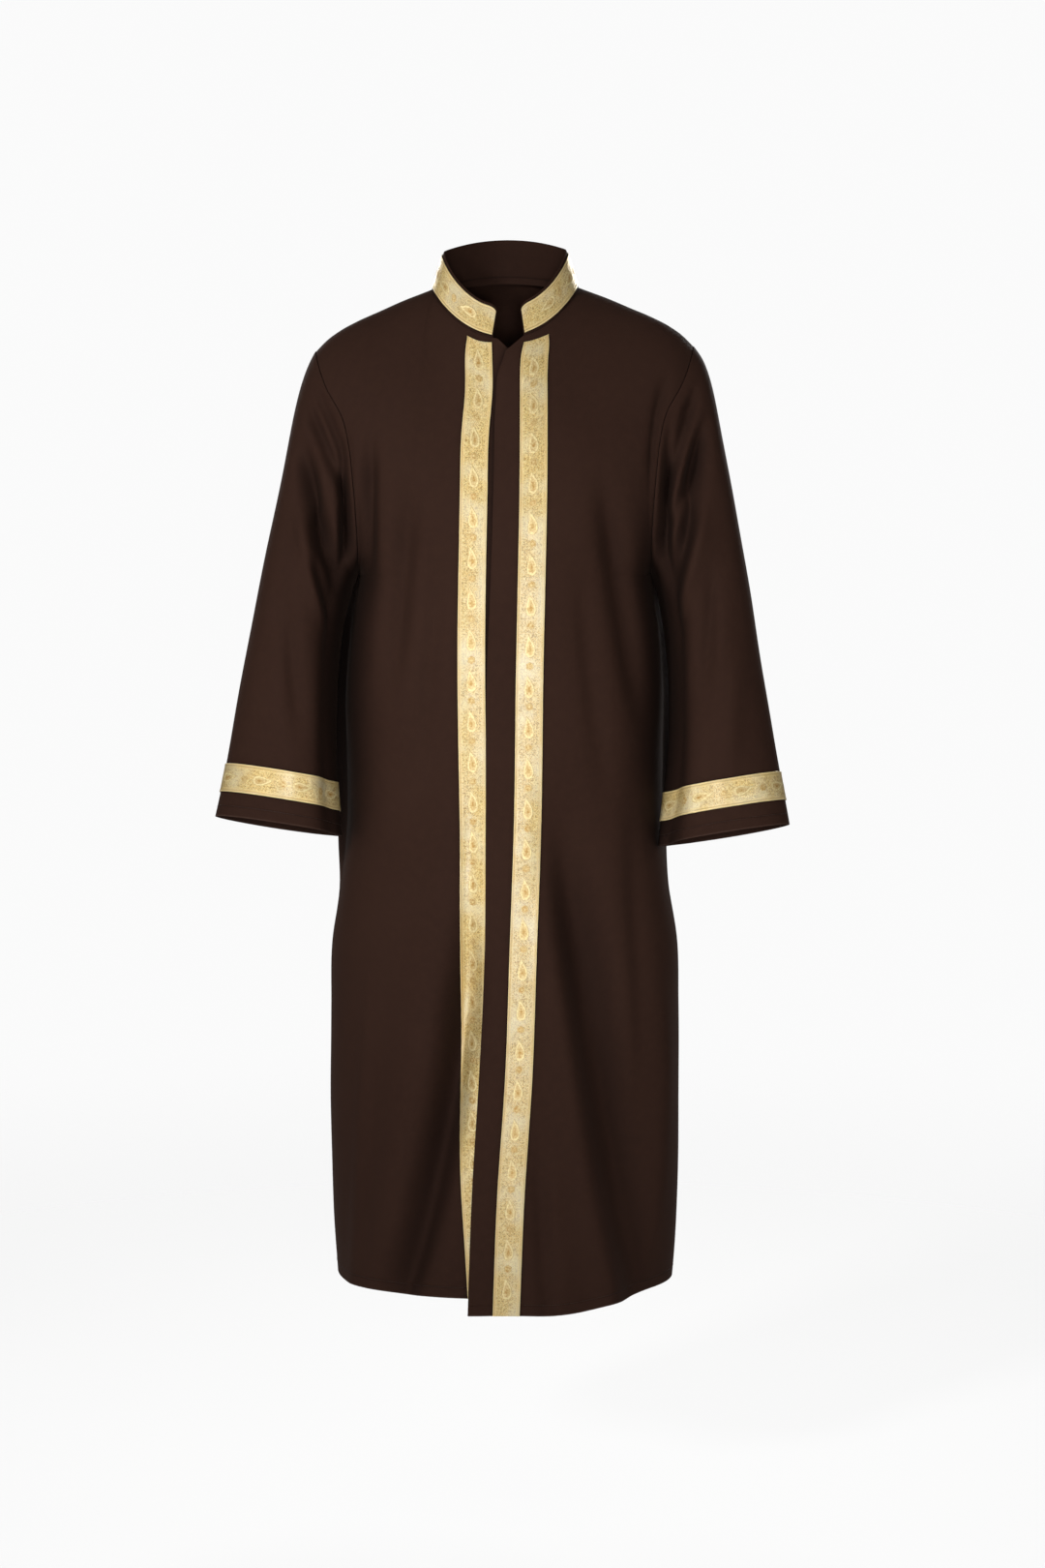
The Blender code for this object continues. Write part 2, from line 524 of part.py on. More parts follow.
def make_object(name, points, thickness, look, ring=False):
    """One closed solid: the grid's faces point out and Solidify thickens it inwards."""
    rows, columns = points.shape[:2]
    faces = []
    for row in range(rows - 1):
        for column in range(columns if ring else columns - 1):
            after = (column + 1) % columns
            faces.append((row * columns + column, (row + 1) * columns + column,
                          (row + 1) * columns + after, row * columns + after))
    mesh = bpy.data.meshes.new(name)
    mesh.from_pydata(points.reshape(-1, 3).tolist(), [], faces)
    mesh.shade_smooth()
    mesh.materials.append(look)
    piece = bpy.data.objects.new(name, mesh)
    ROBE.objects.link(piece)
    wall = piece.modifiers.new("wall", "SOLIDIFY")
    wall.thickness = thickness
    wall.offset = -1.0
    return piece


def make_look(name, colour, roughness, metallic):
    """A plain material for one piece."""
    look = bpy.data.materials.new(name)
    look.use_nodes = True
    shader = look.node_tree.nodes["Principled BSDF"]
    shader.inputs["Base Color"].default_value = (*colour, 1.0)
    shader.inputs["Roughness"].default_value = roughness
    shader.inputs["Metallic"].default_value = metallic
    return look


def clear_scene():
    """Start from an empty scene."""
    for item in list(bpy.data.objects):
        bpy.data.objects.remove(item, do_unlink=True)


clear_scene()
ROBE = bpy.data.collections.new("robe")
bpy.context.scene.collection.children.link(ROBE)

front_left = front_points(1.0, FRONT_LEFT, COLLAR_END_LEFT, LAP_LIFT)
front_right = front_points(-1.0, FRONT_RIGHT, COLLAR_END_RIGHT, 0.0)
back = back_points()
sleeve_left = sleeve_points(1.0, front_left, back, SLEEVE_LEFT,
                            SLEEVE_FOLDS_LEFT_FRONT, SLEEVE_FOLDS_LEFT_BACK)
sleeve_right = sleeve_points(-1.0, front_right, back, SLEEVE_RIGHT,
                             SLEEVE_FOLDS_RIGHT_FRONT, SLEEVE_FOLDS_RIGHT_BACK)
ring = neck_ring(front_right, back, front_left)
collar = collar_points(ring)

every = slice(None)
left_ribbon = slice(SEAM_COLUMNS + NECK_COLUMNS, -1)
right_ribbon = slice(1, 2 + RIBBON_COLUMNS)
cuff_rows = slice(-RIBBON_COLUMNS - 2, -1)

CLOTH = ((0.034, 0.017, 0.013), 0.85, 0.0)
GOLD = ((0.66, 0.46, 0.16), 0.38, 0.6)
for name, points, thickness, look, closed in (
        ("front_left", front_left, WALL, CLOTH, False),
        ("front_right", front_right, WALL, CLOTH, False),
        ("back", back, WALL, CLOTH, False),
        ("sleeve_left", sleeve_left, WALL, CLOTH, True),
        ("sleeve_right", sleeve_right, WALL, CLOTH, True),
        ("collar", collar, WALL, CLOTH, False),
        ("trim_collar", ribbon_on(collar, slice(1, -1), slice(1, -1)), RIBBON_WALL, GOLD, False),
        ("trim_front_left", ribbon_on(front_left, slice(0, -1), left_ribbon), RIBBON_WALL, GOLD, False),
        ("trim_front_right", ribbon_on(front_right, slice(0, -1), right_ribbon), RIBBON_WALL, GOLD, False),
        ("trim_cuff_left", ribbon_on(sleeve_left, cuff_rows, every, True), RIBBON_WALL, GOLD, True),
        ("trim_cuff_right", ribbon_on(sleeve_right, cuff_rows, every, True), RIBBON_WALL, GOLD, True)):
    make_object(name, points, thickness, make_look(name, *look), closed)
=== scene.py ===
# %% [markdown]
# # An open-front robe, from cloth grids to gold ribbon
#
# This lesson dresses a imported CAD model of a long robe. The frame gives the solids, their
# places and their names. Here each cut piece of cloth is laid again as a fine grid, creased into
# listed folds, sewn with thread and trimmed with woven gold ribbon. Units are metres, +Z is up,
# the robe's front faces -Y, and +X is the wearer's left.

import math
from collections import namedtuple

import bpy
import numpy as np
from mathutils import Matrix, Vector


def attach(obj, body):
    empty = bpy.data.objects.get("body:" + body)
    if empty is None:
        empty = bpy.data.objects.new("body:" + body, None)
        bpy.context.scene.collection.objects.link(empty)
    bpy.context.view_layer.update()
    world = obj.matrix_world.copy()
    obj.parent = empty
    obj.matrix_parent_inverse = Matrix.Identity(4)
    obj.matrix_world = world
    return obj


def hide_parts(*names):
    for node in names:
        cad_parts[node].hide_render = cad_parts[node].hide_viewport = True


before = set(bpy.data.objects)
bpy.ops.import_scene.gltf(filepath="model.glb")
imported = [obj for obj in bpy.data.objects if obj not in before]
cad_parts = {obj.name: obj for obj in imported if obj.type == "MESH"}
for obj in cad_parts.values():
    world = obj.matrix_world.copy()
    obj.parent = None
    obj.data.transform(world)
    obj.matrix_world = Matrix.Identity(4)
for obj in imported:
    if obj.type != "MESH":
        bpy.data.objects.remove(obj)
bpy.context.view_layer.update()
print("CAD nodes:", sorted(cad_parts))

# %% [markdown]
# ## The camera, the floor and the light
#
# A garment on a wearer is looked at from chest height and a few metres away, with a long lens
# that keeps its sides straight. The floor is a wide pale disc at the wearer's soles. The room
# is white to look at, but it lights the robe only softly, as a studio does whose front half is
# dark: the shape comes from five soft lamps. A key from the viewer's left, a lamp right in front
# and a weak fill from the right have a narrow spread and aim at the chest and the waist, so the
# shoulders and the skirt fall off into shade. Two lamps behind the robe light its back.

# %% Camera
CAMERA_PLACE = (0.02166, -3.6, -0.25)
CAMERA_PITCH = math.radians(5.55)     # looking down
LENS_MM = 67.56
SENSOR_MM = 36.0                      # the sensor's long side
SOLE_HEIGHT = -1.480                  # the floor under the wearer's feet


def show(name, data):
    """A mesh, a lamp or a camera as an object in the scene."""
    data.name = name
    shown = bpy.data.objects.new(name, data)
    bpy.context.scene.collection.objects.link(shown)
    return shown


def place_camera(name="chest_height_camera"):
    """A camera in front of the chest."""
    data = bpy.data.cameras.new(name)
    data.lens = LENS_MM
    data.sensor_width = SENSOR_MM
    camera = show(name, data)
    camera.location = CAMERA_PLACE
    camera.rotation_euler = (math.pi / 2.0 - CAMERA_PITCH, 0.0, 0.0)
    bpy.context.scene.camera = camera
    return camera


camera = place_camera()
print("camera at", tuple(camera.location), "lens", LENS_MM, "mm")

# %% Floor and room
FLOOR_COLOUR = (0.92, 0.92, 0.915)
FLOOR_SHOWN = 0.35                    # how much of the floor shows against the room
FLOOR_GLOW = 0.66                     # light that the floor passes on from the room below it
FLOOR_SOLID = 1.0                     # the floor is whole inside this radius
FLOOR_GONE = 3.0                      # and fades into the room out to this one
ROOM_SEEN = 0.96                      # brightness of the room behind the robe
ROOM_LIGHT = 0.13                     # and of the light that it sheds
WHITE = (1.0, 1.0, 1.0, 1.0)


def new_material(name):
    """A material with a Principled shader, and its node tree."""
    material = bpy.data.materials.new(name)
    material.use_nodes = True
    return material, material.node_tree, material.node_tree.nodes["Principled BSDF"]


def feed(node, **values):
    """Set or link a node's inputs, each called by its name (`_` for a blank) or `_number`."""
    for key, value in values.items():
        socket = node.inputs[int(key[1:]) if key.startswith("_") else key.replace("_", " ")]
        if isinstance(value, bpy.types.NodeSocket):
            node.id_data.links.new(value, socket)
        else:
            socket.default_value = value
    return node


def add_node(tree, kind, settings=None, **values):
    """Add a node, set its options, and set or link its inputs."""
    made = tree.nodes.new(kind)
    for key, value in (settings or {}).items():
        setattr(made, key, value)
    return feed(made, **values)


def lay_floor(sides=96):
    """A pale disc under the robe whose edge fades into the room."""
    turn = 2.0 * np.pi * np.arange(sides) / sides
    ring = np.stack([FLOOR_GONE * np.cos(turn), FLOOR_GONE * np.sin(turn),
                     np.full(sides, SOLE_HEIGHT)], axis=1)
    mesh = bpy.data.meshes.new("studio_floor")
    mesh.from_pydata(ring.tolist(), [], [list(range(sides))])
    floor = show("studio_floor", mesh)
    material, tree, shader = new_material("pale_floor")
    place = add_node(tree, "ShaderNodeTexCoord").outputs["Object"]
    flat = add_node(tree, "ShaderNodeVectorMath", {"operation": "MULTIPLY"},
                    _0=place, _1=(1.0, 1.0, 0.0))
    radius = add_node(tree, "ShaderNodeVectorMath", {"operation": "LENGTH"}, _0=flat.outputs[0])
    fade = add_node(tree, "ShaderNodeMapRange", {"interpolation_type": "SMOOTHSTEP"},
                    Value=radius.outputs["Value"], From_Min=FLOOR_GONE, From_Max=FLOOR_SOLID,
                    To_Max=FLOOR_SHOWN)
    feed(shader, Base_Color=(*FLOOR_COLOUR, 1.0), Roughness=0.85, Specular_IOR_Level=0.1,
         Emission_Color=WHITE, Emission_Strength=FLOOR_GLOW, Alpha=fade.outputs[0])
    mesh.materials.append(material)
    return floor


def paint_room():
    """A white room that sheds less light than it shows."""
    world = bpy.data.worlds.new("studio")
    bpy.context.scene.world = world
    world.use_nodes = True
    tree = world.node_tree
    seen = add_node(tree, "ShaderNodeLightPath").outputs["Is Camera Ray"]
    strength = add_node(tree, "ShaderNodeMapRange", Value=seen, To_Min=ROOM_LIGHT, To_Max=ROOM_SEEN)
    feed(tree.nodes["Background"], Color=WHITE, Strength=strength.outputs[0])


floor = lay_floor()
paint_room()
bpy.context.scene.view_settings.view_transform = "Standard"
print("floor", floor.name, "at", SOLE_HEIGHT)

# %% Lights
# A lamp's spread is in degrees.
Light = namedtuple("Light", "name place aim size watts spread")
LIGHTS = [
    Light("key", (-2.4, -2.7, 0.9), (0.0, 0.0, -0.34), 0.6, 4.7, 49.0),
    Light("front", (0.1, -4.6, -0.74), (0.0, 0.0, -0.50), 0.9, 3.2, 30.0),
    Light("fill", (2.4, -2.6, 0.5), (0.0, 0.0, -0.30), 1.0, 1.1, 60.0),
    Light("back_left", (1.5, 3.2, 0.9), (0.0, 0.0, -0.40), 1.0, 4.5, 55.0),
    Light("back_right", (-1.5, 3.2, 0.9), (0.0, 0.0, -0.40), 1.0, 2.5, 55.0),
]


def hang_light(light):
    """A square soft light that faces its aim."""
    data = bpy.data.lights.new(light.name, "AREA")
    data.energy = light.watts
    data.size = light.size
    data.spread = math.radians(light.spread)
    lamp = show(light.name, data)
    lamp.location = light.place
    lamp.visible_camera = False
    aim = Vector(light.aim) - Vector(light.place)
    lamp.rotation_euler = aim.to_track_quat("-Z", "Y").to_euler()


for light in LIGHTS:
    hang_light(light)
print("lights:", [light.name for light in LIGHTS])

# %% [markdown]
# ## The rule of the body
#
# A robe's body hangs like a tube that is a rounded oval from above: wide, less deep, a little
# squarer at the chest, and wider at the hem. One table of girths says how wide and deep it is
# at each height, and a smooth curve through the rows gives every height between them. Above
# the armpit the oval is open at the sides, where the sleeves are set in, and the chest and back
# turn over to meet at the shoulder. These are the solids' own sizes, so the fine cloth lies
# where the frame has it.

# %% Sizes of the body
WALL = 0.0016                   # thickness of the cloth
SEAM_GAP = 0.0003               # between the cloth and a ribbon on it
LAP_LIFT = 0.0042               # the left front stands this far off the right one at the lap
LAP_START = 0.125               # it starts to rise this far from the middle
LAP_FULL = 0.050                # and has risen here
ARMPIT = -0.342                 # height where the armholes start
SHOULDER_START = -0.280         # the chest and the back begin to turn over here
SHOULDER_ROUND = 2.2            # power of that turn: 2 is an ellipse
SHOULDER_TILT = 0.014           # the left shoulder's rise for each metre from the middle
TILT_RISE = 0.2                 # height over which that tilt comes in
SHOULDER_END = 0.228            # half the shoulders' width

Girth = namedtuple("Girth", "height half_width front_depth back_depth round")
SKIRT = [
    Girth(-1.230, 0.2065, 0.1570, 0.1470, 2.25),
    Girth(-1.146, 0.2125, 0.1530, 0.1430, 2.25),
    Girth(-1.000, 0.2150, 0.1470, 0.1380, 2.25),
    Girth(-0.870, 0.2148, 0.1420, 0.1330, 2.25),
    Girth(-0.790, 0.2125, 0.1390, 0.1290, 2.30),
    Girth(-0.720, 0.2010, 0.1370, 0.1260, 2.35),
    Girth(-0.650, 0.1940, 0.1360, 0.1230, 2.40),
    Girth(-0.560, 0.1935, 0.1350, 0.1200, 2.40),
    Girth(-0.480, 0.1935, 0.1350, 0.1180, 2.40),
    Girth(-0.420, 0.1890, 0.1350, 0.1190, 2.50),
    Girth(ARMPIT, 0.1770, 0.1340, 0.1220, 2.72),
]
Yoke = namedtuple("Yoke", "height half_width front_depth back_depth round front_armhole back_armhole")
YOKE = [
    Yoke(ARMPIT, 0.1770, 0.1340, 0.1220, 2.72, 0.1770, 0.1770),
    Yoke(-0.325, 0.1845, 0.1330, 0.1230, 2.65, 0.1755, 0.1780),
    Yoke(-0.276, 0.2050, 0.1310, 0.1250, 2.45, 0.1765, 0.1840),
    Yoke(-0.227, 0.2300, 0.1270, 0.1270, 2.30, 0.1800, 0.1910),
    Yoke(-0.186, 0.2470, 0.1210, 0.1270, 2.30, 0.1845, 0.1960),
    Yoke(-0.151, 0.2590, 0.1150, 0.1260, 2.30, 0.1930, 0.2030),
    Yoke(-0.117, 0.2800, 0.1090, 0.1240, 2.30, 0.2120, 0.2150),
    Yoke(-0.070, 0.3000, 0.1020, 0.1210, 2.30, SHOULDER_END, SHOULDER_END),
    Yoke(0.060, 0.3000, 0.0980, 0.1180, 2.30, SHOULDER_END, SHOULDER_END),
]
Ridge = namedtuple("Ridge", "across height")
SHOULDER = [
    Ridge(0.000, 0.0420),
    Ridge(0.088, 0.0020),
    Ridge(0.124, -0.0115),
    Ridge(0.151, -0.0231),
    Ridge(0.178, -0.0347),
    Ridge(0.200, -0.0463),
    Ridge(0.216, -0.0579),
    Ridge(SHOULDER_END, -0.0700),
    Ridge(0.300, -0.1600),
]
print("girths:", len(SKIRT) + len(YOKE) - 1, "rows from", SKIRT[0].height, "to", YOKE[-1].height)

# %% Reading the body's tables
def smooth(at):
    """0 below 0, 1 above 1, and a soft step between them."""
    at = np.clip(at, 0.0, 1.0)
    return at * at * (3.0 - 2.0 * at)


def bend_between(start, end, start_slope, end_slope, part):
    """Places on the smooth curve from a start to an end that leaves and arrives at two slopes."""
    return ((start * (1.0 + 2.0 * part) + start_slope * part) * (1.0 - part) ** 2
            + (end * (3.0 - 2.0 * part) - end_slope * (1.0 - part)) * part ** 2)


def curve(table, key, value, at):
    """A column of a table read at any place by a smooth curve through its rows."""
    places = np.array([getattr(row, key) for row in table])
    values = np.array([getattr(row, value) for row in table])
    slopes = np.gradient(values, places)
    at = np.clip(at, places[0], places[-1])
    index = np.clip(np.searchsorted(places, at, side="right") - 1, 0, len(places) - 2)
    span = places[index + 1] - places[index]
    return bend_between(values[index], values[index + 1], slopes[index] * span,
                        slopes[index + 1] * span, (at - places[index]) / span)


def body_size(value, height):
    """Half width or depth of the body at a height: the skirt's table or the yoke's."""
    low = curve(SKIRT, "height", value, np.minimum(height, ARMPIT))
    high = curve(YOKE, "height", value, np.maximum(height, ARMPIT))
    return np.where(height < ARMPIT, low, high)


def body_depth(depth_name, across, height):
    """How far the body's surface stands from the side plane."""
    share = np.clip(np.abs(across) / body_size("half_width", height), 0.0, 1.0)
    power = body_size("round", height)
    plan = (1.0 - share ** power) ** (1.0 / power)
    ridge = curve(SHOULDER, "across", "height", np.abs(across))
    rise = np.clip((height - SHOULDER_START) / (ridge - SHOULDER_START), 0.0, 1.0)
    turn = (1.0 - rise ** SHOULDER_ROUND) ** (1.0 / SHOULDER_ROUND)
    return body_size(depth_name, height) * plan * turn


print("at the armpits the body is", round(2.0 * float(body_size("half_width", ARMPIT)), 3), "m wide")

# %% [markdown]
# ## Neckline, hem and the two front edges
#
# The neckline is half an ellipse, lower in front. The left front laps over the right one, so
# its free edge and its hem are longer. Each front carries its ribbon a finger's width from its
# free edge, and both drift a little as the robe falls open towards the hem.

# %% Edges
NECK_HALF_WIDTH = 0.088
NECK_SIDE_HEIGHT = 0.002
NECK_FRONT_DROP = 0.064
NECK_FRONT_CURVE = 0.8          # power of the front neckline's bow: 0.5 is an ellipse
NECK_BACK_RISE = 0.016
CORNER_SLOPE = 1.0              # fall of a front's corner past the collar's end
COLLAR_END_LEFT = 0.0215        # the collar's ends, from the middle
COLLAR_END_RIGHT = 0.0085
RIBBON_WIDTH = 0.0350
RIBBON_TOP_SHARE = 12.0 / 13.0  # the front ribbons end at this share of the yoke's rows
RIBBON_TOP_DROP = 0.0105        # those rows sag this far where the ribbon meets the chest
RIBBON_TOP_REACH = 6            # power with which the sag fades down the yoke

Hem = namedtuple("Hem", "across left right")
HEM = [
    Hem(0.000, -1.2235, -1.2040),
    Hem(0.080, -1.2235, -1.2040),
    Hem(0.137, -1.2165, -1.2040),
    Hem(0.180, -1.2110, -1.2040),
    Hem(0.215, -1.2110, -1.2040),
]
Front = namedtuple("Front", "height edge ribbon")
FRONT_LEFT = [
    Front(-1.230, -0.0443, -0.0157),
    Front(-1.078, -0.0388, -0.0097),
    Front(-0.936, -0.0304, -0.0003),
    Front(-0.784, -0.0233, 0.0050),
    Front(-0.633, -0.0220, 0.0102),
    Front(-0.461, -0.0206, 0.0125),
    Front(-0.347, -0.0159, 0.0148),
    Front(-0.234, -0.0124, 0.0168),
    Front(-0.133, -0.0100, 0.0171),
    Front(-0.104, -0.0078, 0.0171),
    Front(-0.081, 0.0002, 0.0185),
    Front(-0.062, 0.0040, 0.0225),
    Front(-0.040, 0.0050, 0.0235),
]
FRONT_RIGHT = [
    Front(-1.230, -0.0220, 0.0085),
    Front(-1.149, -0.0168, 0.0132),
    Front(-1.078, -0.0123, 0.0177),
    Front(-0.936, -0.0091, 0.0209),
    Front(-0.656, -0.0108, 0.0192),
    Front(-0.415, -0.0090, 0.0210),
    Front(-0.245, -0.0117, 0.0183),
    Front(-0.177, -0.0130, 0.0170),
    Front(-0.120, -0.0120, 0.0128),
    Front(-0.081, -0.0050, 0.0135),
    Front(-0.062, -0.0030, 0.0142),
    Front(-0.040, -0.0030, 0.0142),
]
print("lap at the hem:", round(-FRONT_LEFT[0].edge - FRONT_RIGHT[0].edge, 3), "m")

# %% Necklines, and the lines beside a ribbon
def front_neckline(across, collar_end):
    """Height of a front's upper edge inside the neck, falling off past the collar's end."""
    inside = np.maximum(across, collar_end)
    bow = np.clip(1.0 - (inside / NECK_HALF_WIDTH) ** 2, 0.0, 1.0)
    corner = CORNER_SLOPE * (inside - across)
    return NECK_SIDE_HEIGHT - NECK_FRONT_DROP * bow ** NECK_FRONT_CURVE - corner


def back_neckline(across):
    """Height of the back's upper edge inside the neck."""
    bow = np.clip(1.0 - (across / NECK_HALF_WIDTH) ** 2, 0.0, 1.0)
    return NECK_SIDE_HEIGHT + NECK_BACK_RISE * bow


def inner_line(fronts, height):
    """Where a panel's main columns end: at a front's ribbon, or at the back's middle."""
    if fronts is None:
        return np.zeros_like(height)
    return curve(fronts, "height", "ribbon", height) + RIBBON_WIDTH


def past_inner(fronts, columns, height):
    """How far the columns of the ribbon and of the margin lie beyond the inner line."""
    if fronts is None:
        return np.zeros_like(height)
    margin = curve(fronts, "height", "ribbon", height) - curve(fronts, "height", "edge", height)
    return RIBBON_WIDTH * columns.ribbon + margin * columns.margin


print("the neckline rises from", round(float(front_neckline(0.0, 0.0)), 3), "m in front to",
      round(float(back_neckline(0.0)), 3), "m behind")

# %% [markdown]
# ## Folds, laid one by one
#
# Hanging cloth folds where it is held up and has width to spare: from the armholes down the
# chest, and from the hips to the hem. Each fold here is a row with three places that it runs
# through, its depth (negative is a trough), its width, and what is left of it at its lower
# end. Uneven lengths and spacings are what make them look like cloth. A slow ripple of a
# millimetre lies over everything, because no worn cloth is quite flat.

# %% Folds of the fronts and the back
Fold = namedtuple("Fold", "top_height top_x middle_x low_x low_height depth width low_end")
FRONT_FOLDS = [
    Fold(-0.700, -0.040, -0.068, -0.148, -1.260, -0.0240, 0.020, 1.0),
    Fold(-0.700, -0.082, -0.114, -0.178, -1.260, 0.0130, 0.036, 1.0),
    Fold(-0.780, -0.160, -0.172, -0.182, -1.260, 0.0060, 0.011, 0.8),
    Fold(-0.540, -0.034, -0.044, -0.052, -0.980, -0.0051, 0.014, 0.0),
    Fold(-0.540, 0.058, 0.116, 0.192, -1.260, -0.0270, 0.030, 1.0),
    Fold(-0.620, 0.046, 0.080, 0.138, -1.260, 0.0100, 0.018, 1.0),
    Fold(-0.780, 0.184, 0.195, 0.174, -1.230, 0.0077, 0.012, 0.5),
    Fold(-0.560, 0.150, 0.164, 0.176, -1.100, -0.0060, 0.013, 0.0),
    Fold(-0.980, 0.040, 0.046, 0.056, -1.260, -0.0059, 0.012, 1.0),
    Fold(-0.150, -0.157, -0.163, -0.168, -0.400, -0.0120, 0.010, 0.0),
    Fold(-0.200, -0.108, -0.124, -0.142, -0.520, -0.0112, 0.016, 0.0),
    Fold(-0.250, -0.080, -0.086, -0.104, -0.600, -0.0045, 0.013, 0.0),
    Fold(-0.090, 0.196, 0.184, 0.180, -0.260, -0.0090, 0.009, 0.0),
    Fold(-0.200, 0.112, 0.143, 0.172, -0.560, -0.0142, 0.016, 0.0),
    Fold(-0.300, 0.090, 0.104, 0.128, -0.640, -0.0045, 0.013, 0.0),
]
# Behind the hands the back's sides swell by this much.
Swell = namedtuple("Swell", "height left right")
SIDE_SWELL = [
    Swell(-0.820, 0.0000, 0.0000),
    Swell(-0.740, 0.0020, 0.0045),
    Swell(-0.670, 0.0075, 0.0150),
    Swell(-0.600, 0.0125, 0.0195),
    Swell(-0.520, 0.0140, 0.0195),
    Swell(-0.450, 0.0125, 0.0175),
    Swell(-0.390, 0.0105, 0.0145),
    Swell(-0.350, 0.0060, 0.0080),
    Swell(-0.310, 0.0000, 0.0000),
]
BACK_FOLDS = [
    Fold(-0.300, -0.060, -0.078, -0.105, -1.260, -0.0163, 0.026, 1.0),
    Fold(-0.420, 0.050, 0.080, 0.098, -1.260, -0.0156, 0.027, 1.0),
    Fold(-0.560, -0.010, 0.004, 0.012, -1.260, 0.0106, 0.018, 1.0),
    Fold(-0.800, 0.150, 0.158, 0.162, -1.260, -0.0094, 0.016, 1.0),
    Fold(-0.760, -0.158, -0.164, -0.160, -1.260, 0.0088, 0.013, 1.0),
    Fold(-0.880, -0.052, -0.046, -0.038, -1.260, 0.0063, 0.012, 1.0),
    Fold(-0.700, 0.116, 0.126, 0.130, -1.200, 0.0056, 0.013, 0.3),
    Fold(-0.130, -0.150, -0.128, -0.112, -0.420, -0.0094, 0.013, 0.0),
    Fold(-0.140, 0.155, 0.136, 0.118, -0.400, -0.0106, 0.012, 0.0),
    Fold(-0.200, -0.176, -0.160, -0.150, -0.380, -0.0069, 0.010, 0.0),
    Fold(-0.210, 0.178, 0.162, 0.156, -0.390, -0.0063, 0.010, 0.0),
]
SWELL_FROM = 0.030              # metres behind the side seam where the swell is full
SWELL_UNTIL = 0.110             # and where it has gone
NAPE_REACH = 0.085              # the nape is rounded this far from the middle
SEWN_INTO = 0.0001              # a front and the back reach this far into each other
FOLD_GROWTH = 0.35              # share of its length over which a fold deepens
FOLD_FADE = 0.6                 # share after which it changes to what is left at its end
FOLD_HOLD_YOKE = 0.25           # share of the yoke below its seam that holds the folds down
FOLD_HOLD_COLUMNS = 1.0         # and columns of the solid beside the side seam
HEM_LIFT = 0.27                 # a fold that stands out by a metre lifts its hem by this much
HEM_REACH = 0.25                # and the cloth up to this height above it

RIPPLE_SLANT = 0.35             # in a ripple, depth counts as this share of width
Ripple = namedtuple("Ripple", "across up depth phase")
RIPPLES = [
    Ripple(9.0, 21.0, 0.00055, 0.4),
    Ripple(31.0, 6.0, 0.00060, 1.9),
    Ripple(22.0, -17.0, 0.00045, 3.1),
    Ripple(47.0, 25.0, 0.00028, 5.0),
    Ripple(-38.0, 41.0, 0.00022, 2.2),
    Ripple(63.0, -11.0, 0.00020, 0.9),
]
print("folds:", len(FRONT_FOLDS), "in front,", len(BACK_FOLDS), "behind")

# %% Reading folds and ripples
def fold_field(folds, x, height):
    """Sum of the folds' depths at places seen from the front."""
    total = np.zeros_like(x)
    for fold in folds:
        share = (fold.top_height - height) / (fold.top_height - fold.low_height)
        part = np.clip(share, 0.0, 1.0)
        line = (fold.top_x * (1.0 - part) * (1.0 - 2.0 * part)
                + fold.middle_x * 4.0 * part * (1.0 - part)
                + fold.low_x * part * (2.0 * part - 1.0))
        fade = 1.0 - (1.0 - fold.low_end) * smooth((share - FOLD_FADE) / (1.0 - FOLD_FADE))
        strength = smooth(share / FOLD_GROWTH) * fade
        total += fold.depth * strength * np.exp(-((x - line) / fold.width) ** 2)
    return total


def ripple_field(points):
    """A slow uneven ripple, the same on every layer at one place."""
    x, y, z = points[:, :, 0], points[:, :, 1], points[:, :, 2]
    total = np.zeros_like(x)
    for wave in RIPPLES:
        total += wave.depth * np.sin(wave.across * (x + RIPPLE_SLANT * y) + wave.up * z + wave.phase)
    return total


def walk_along(points, axis=0):
    """Metres walked to each point of a line of points, or along one axis of a grid."""
    steps = np.linalg.norm(np.diff(points, axis=axis), axis=-1)
    return np.insert(np.cumsum(steps, axis=axis), 0, 0.0, axis=axis)


def grid_normals(points, ring=False):
    """Unit normals of a grid of points; a ring's last column meets its first."""
    if ring:
        points = np.concatenate([points[:, -1:], points, points[:, :1]], axis=1)
    normals = np.cross(np.gradient(points, axis=0), np.gradient(points, axis=1))
    normals /= np.linalg.norm(normals, axis=2, keepdims=True) + 1e-12
    return normals[:, 1:-1] if ring else normals


print("ripples:", len(RIPPLES), "waves of", [wave.depth for wave in RIPPLES], "m")

# %% [markdown]
# ## Laying a panel
#
# A panel is a grid of points: rows from the hem to the shoulder, columns from the side seam to
# the middle. Round the skirt the columns are spaced by angle, so the cloth is never bunched
# up at the sides, and up the yoke they move over to their places on the shoulder seam and the
# neckline. The grid is six times as fine as the solid's each way, enough for sharp folds.

# %% Rows and columns of a panel
FINER = 6                       # rows and columns to one of the solid's
SKIRT_ROWS = 14 * FINER
YOKE_ROWS = 13 * FINER
SEAM_COLUMNS = 7 * FINER
NECK_COLUMNS = 6 * FINER
RIBBON_COLUMNS = 2 * FINER
MARGIN_COLUMNS = FINER
MAIN_COLUMNS = SEAM_COLUMNS + NECK_COLUMNS + 1
RIBBON_TOP_ROW = SKIRT_ROWS + round(YOKE_ROWS * RIBBON_TOP_SHARE)

# Each column's share of the main part, of the ribbon and of the margin that it has crossed.
Columns = namedtuple("Columns", "turn ribbon margin")


def panel_rows():
    """Shares along the skirt (hem to armpit) and the yoke (armpit to shoulder)."""
    skirt = np.linspace(0.0, 1.0, SKIRT_ROWS + 1)[:-1, None]
    yoke = np.linspace(0.0, 1.0, YOKE_ROWS + 1)[:, None]
    return skirt, yoke


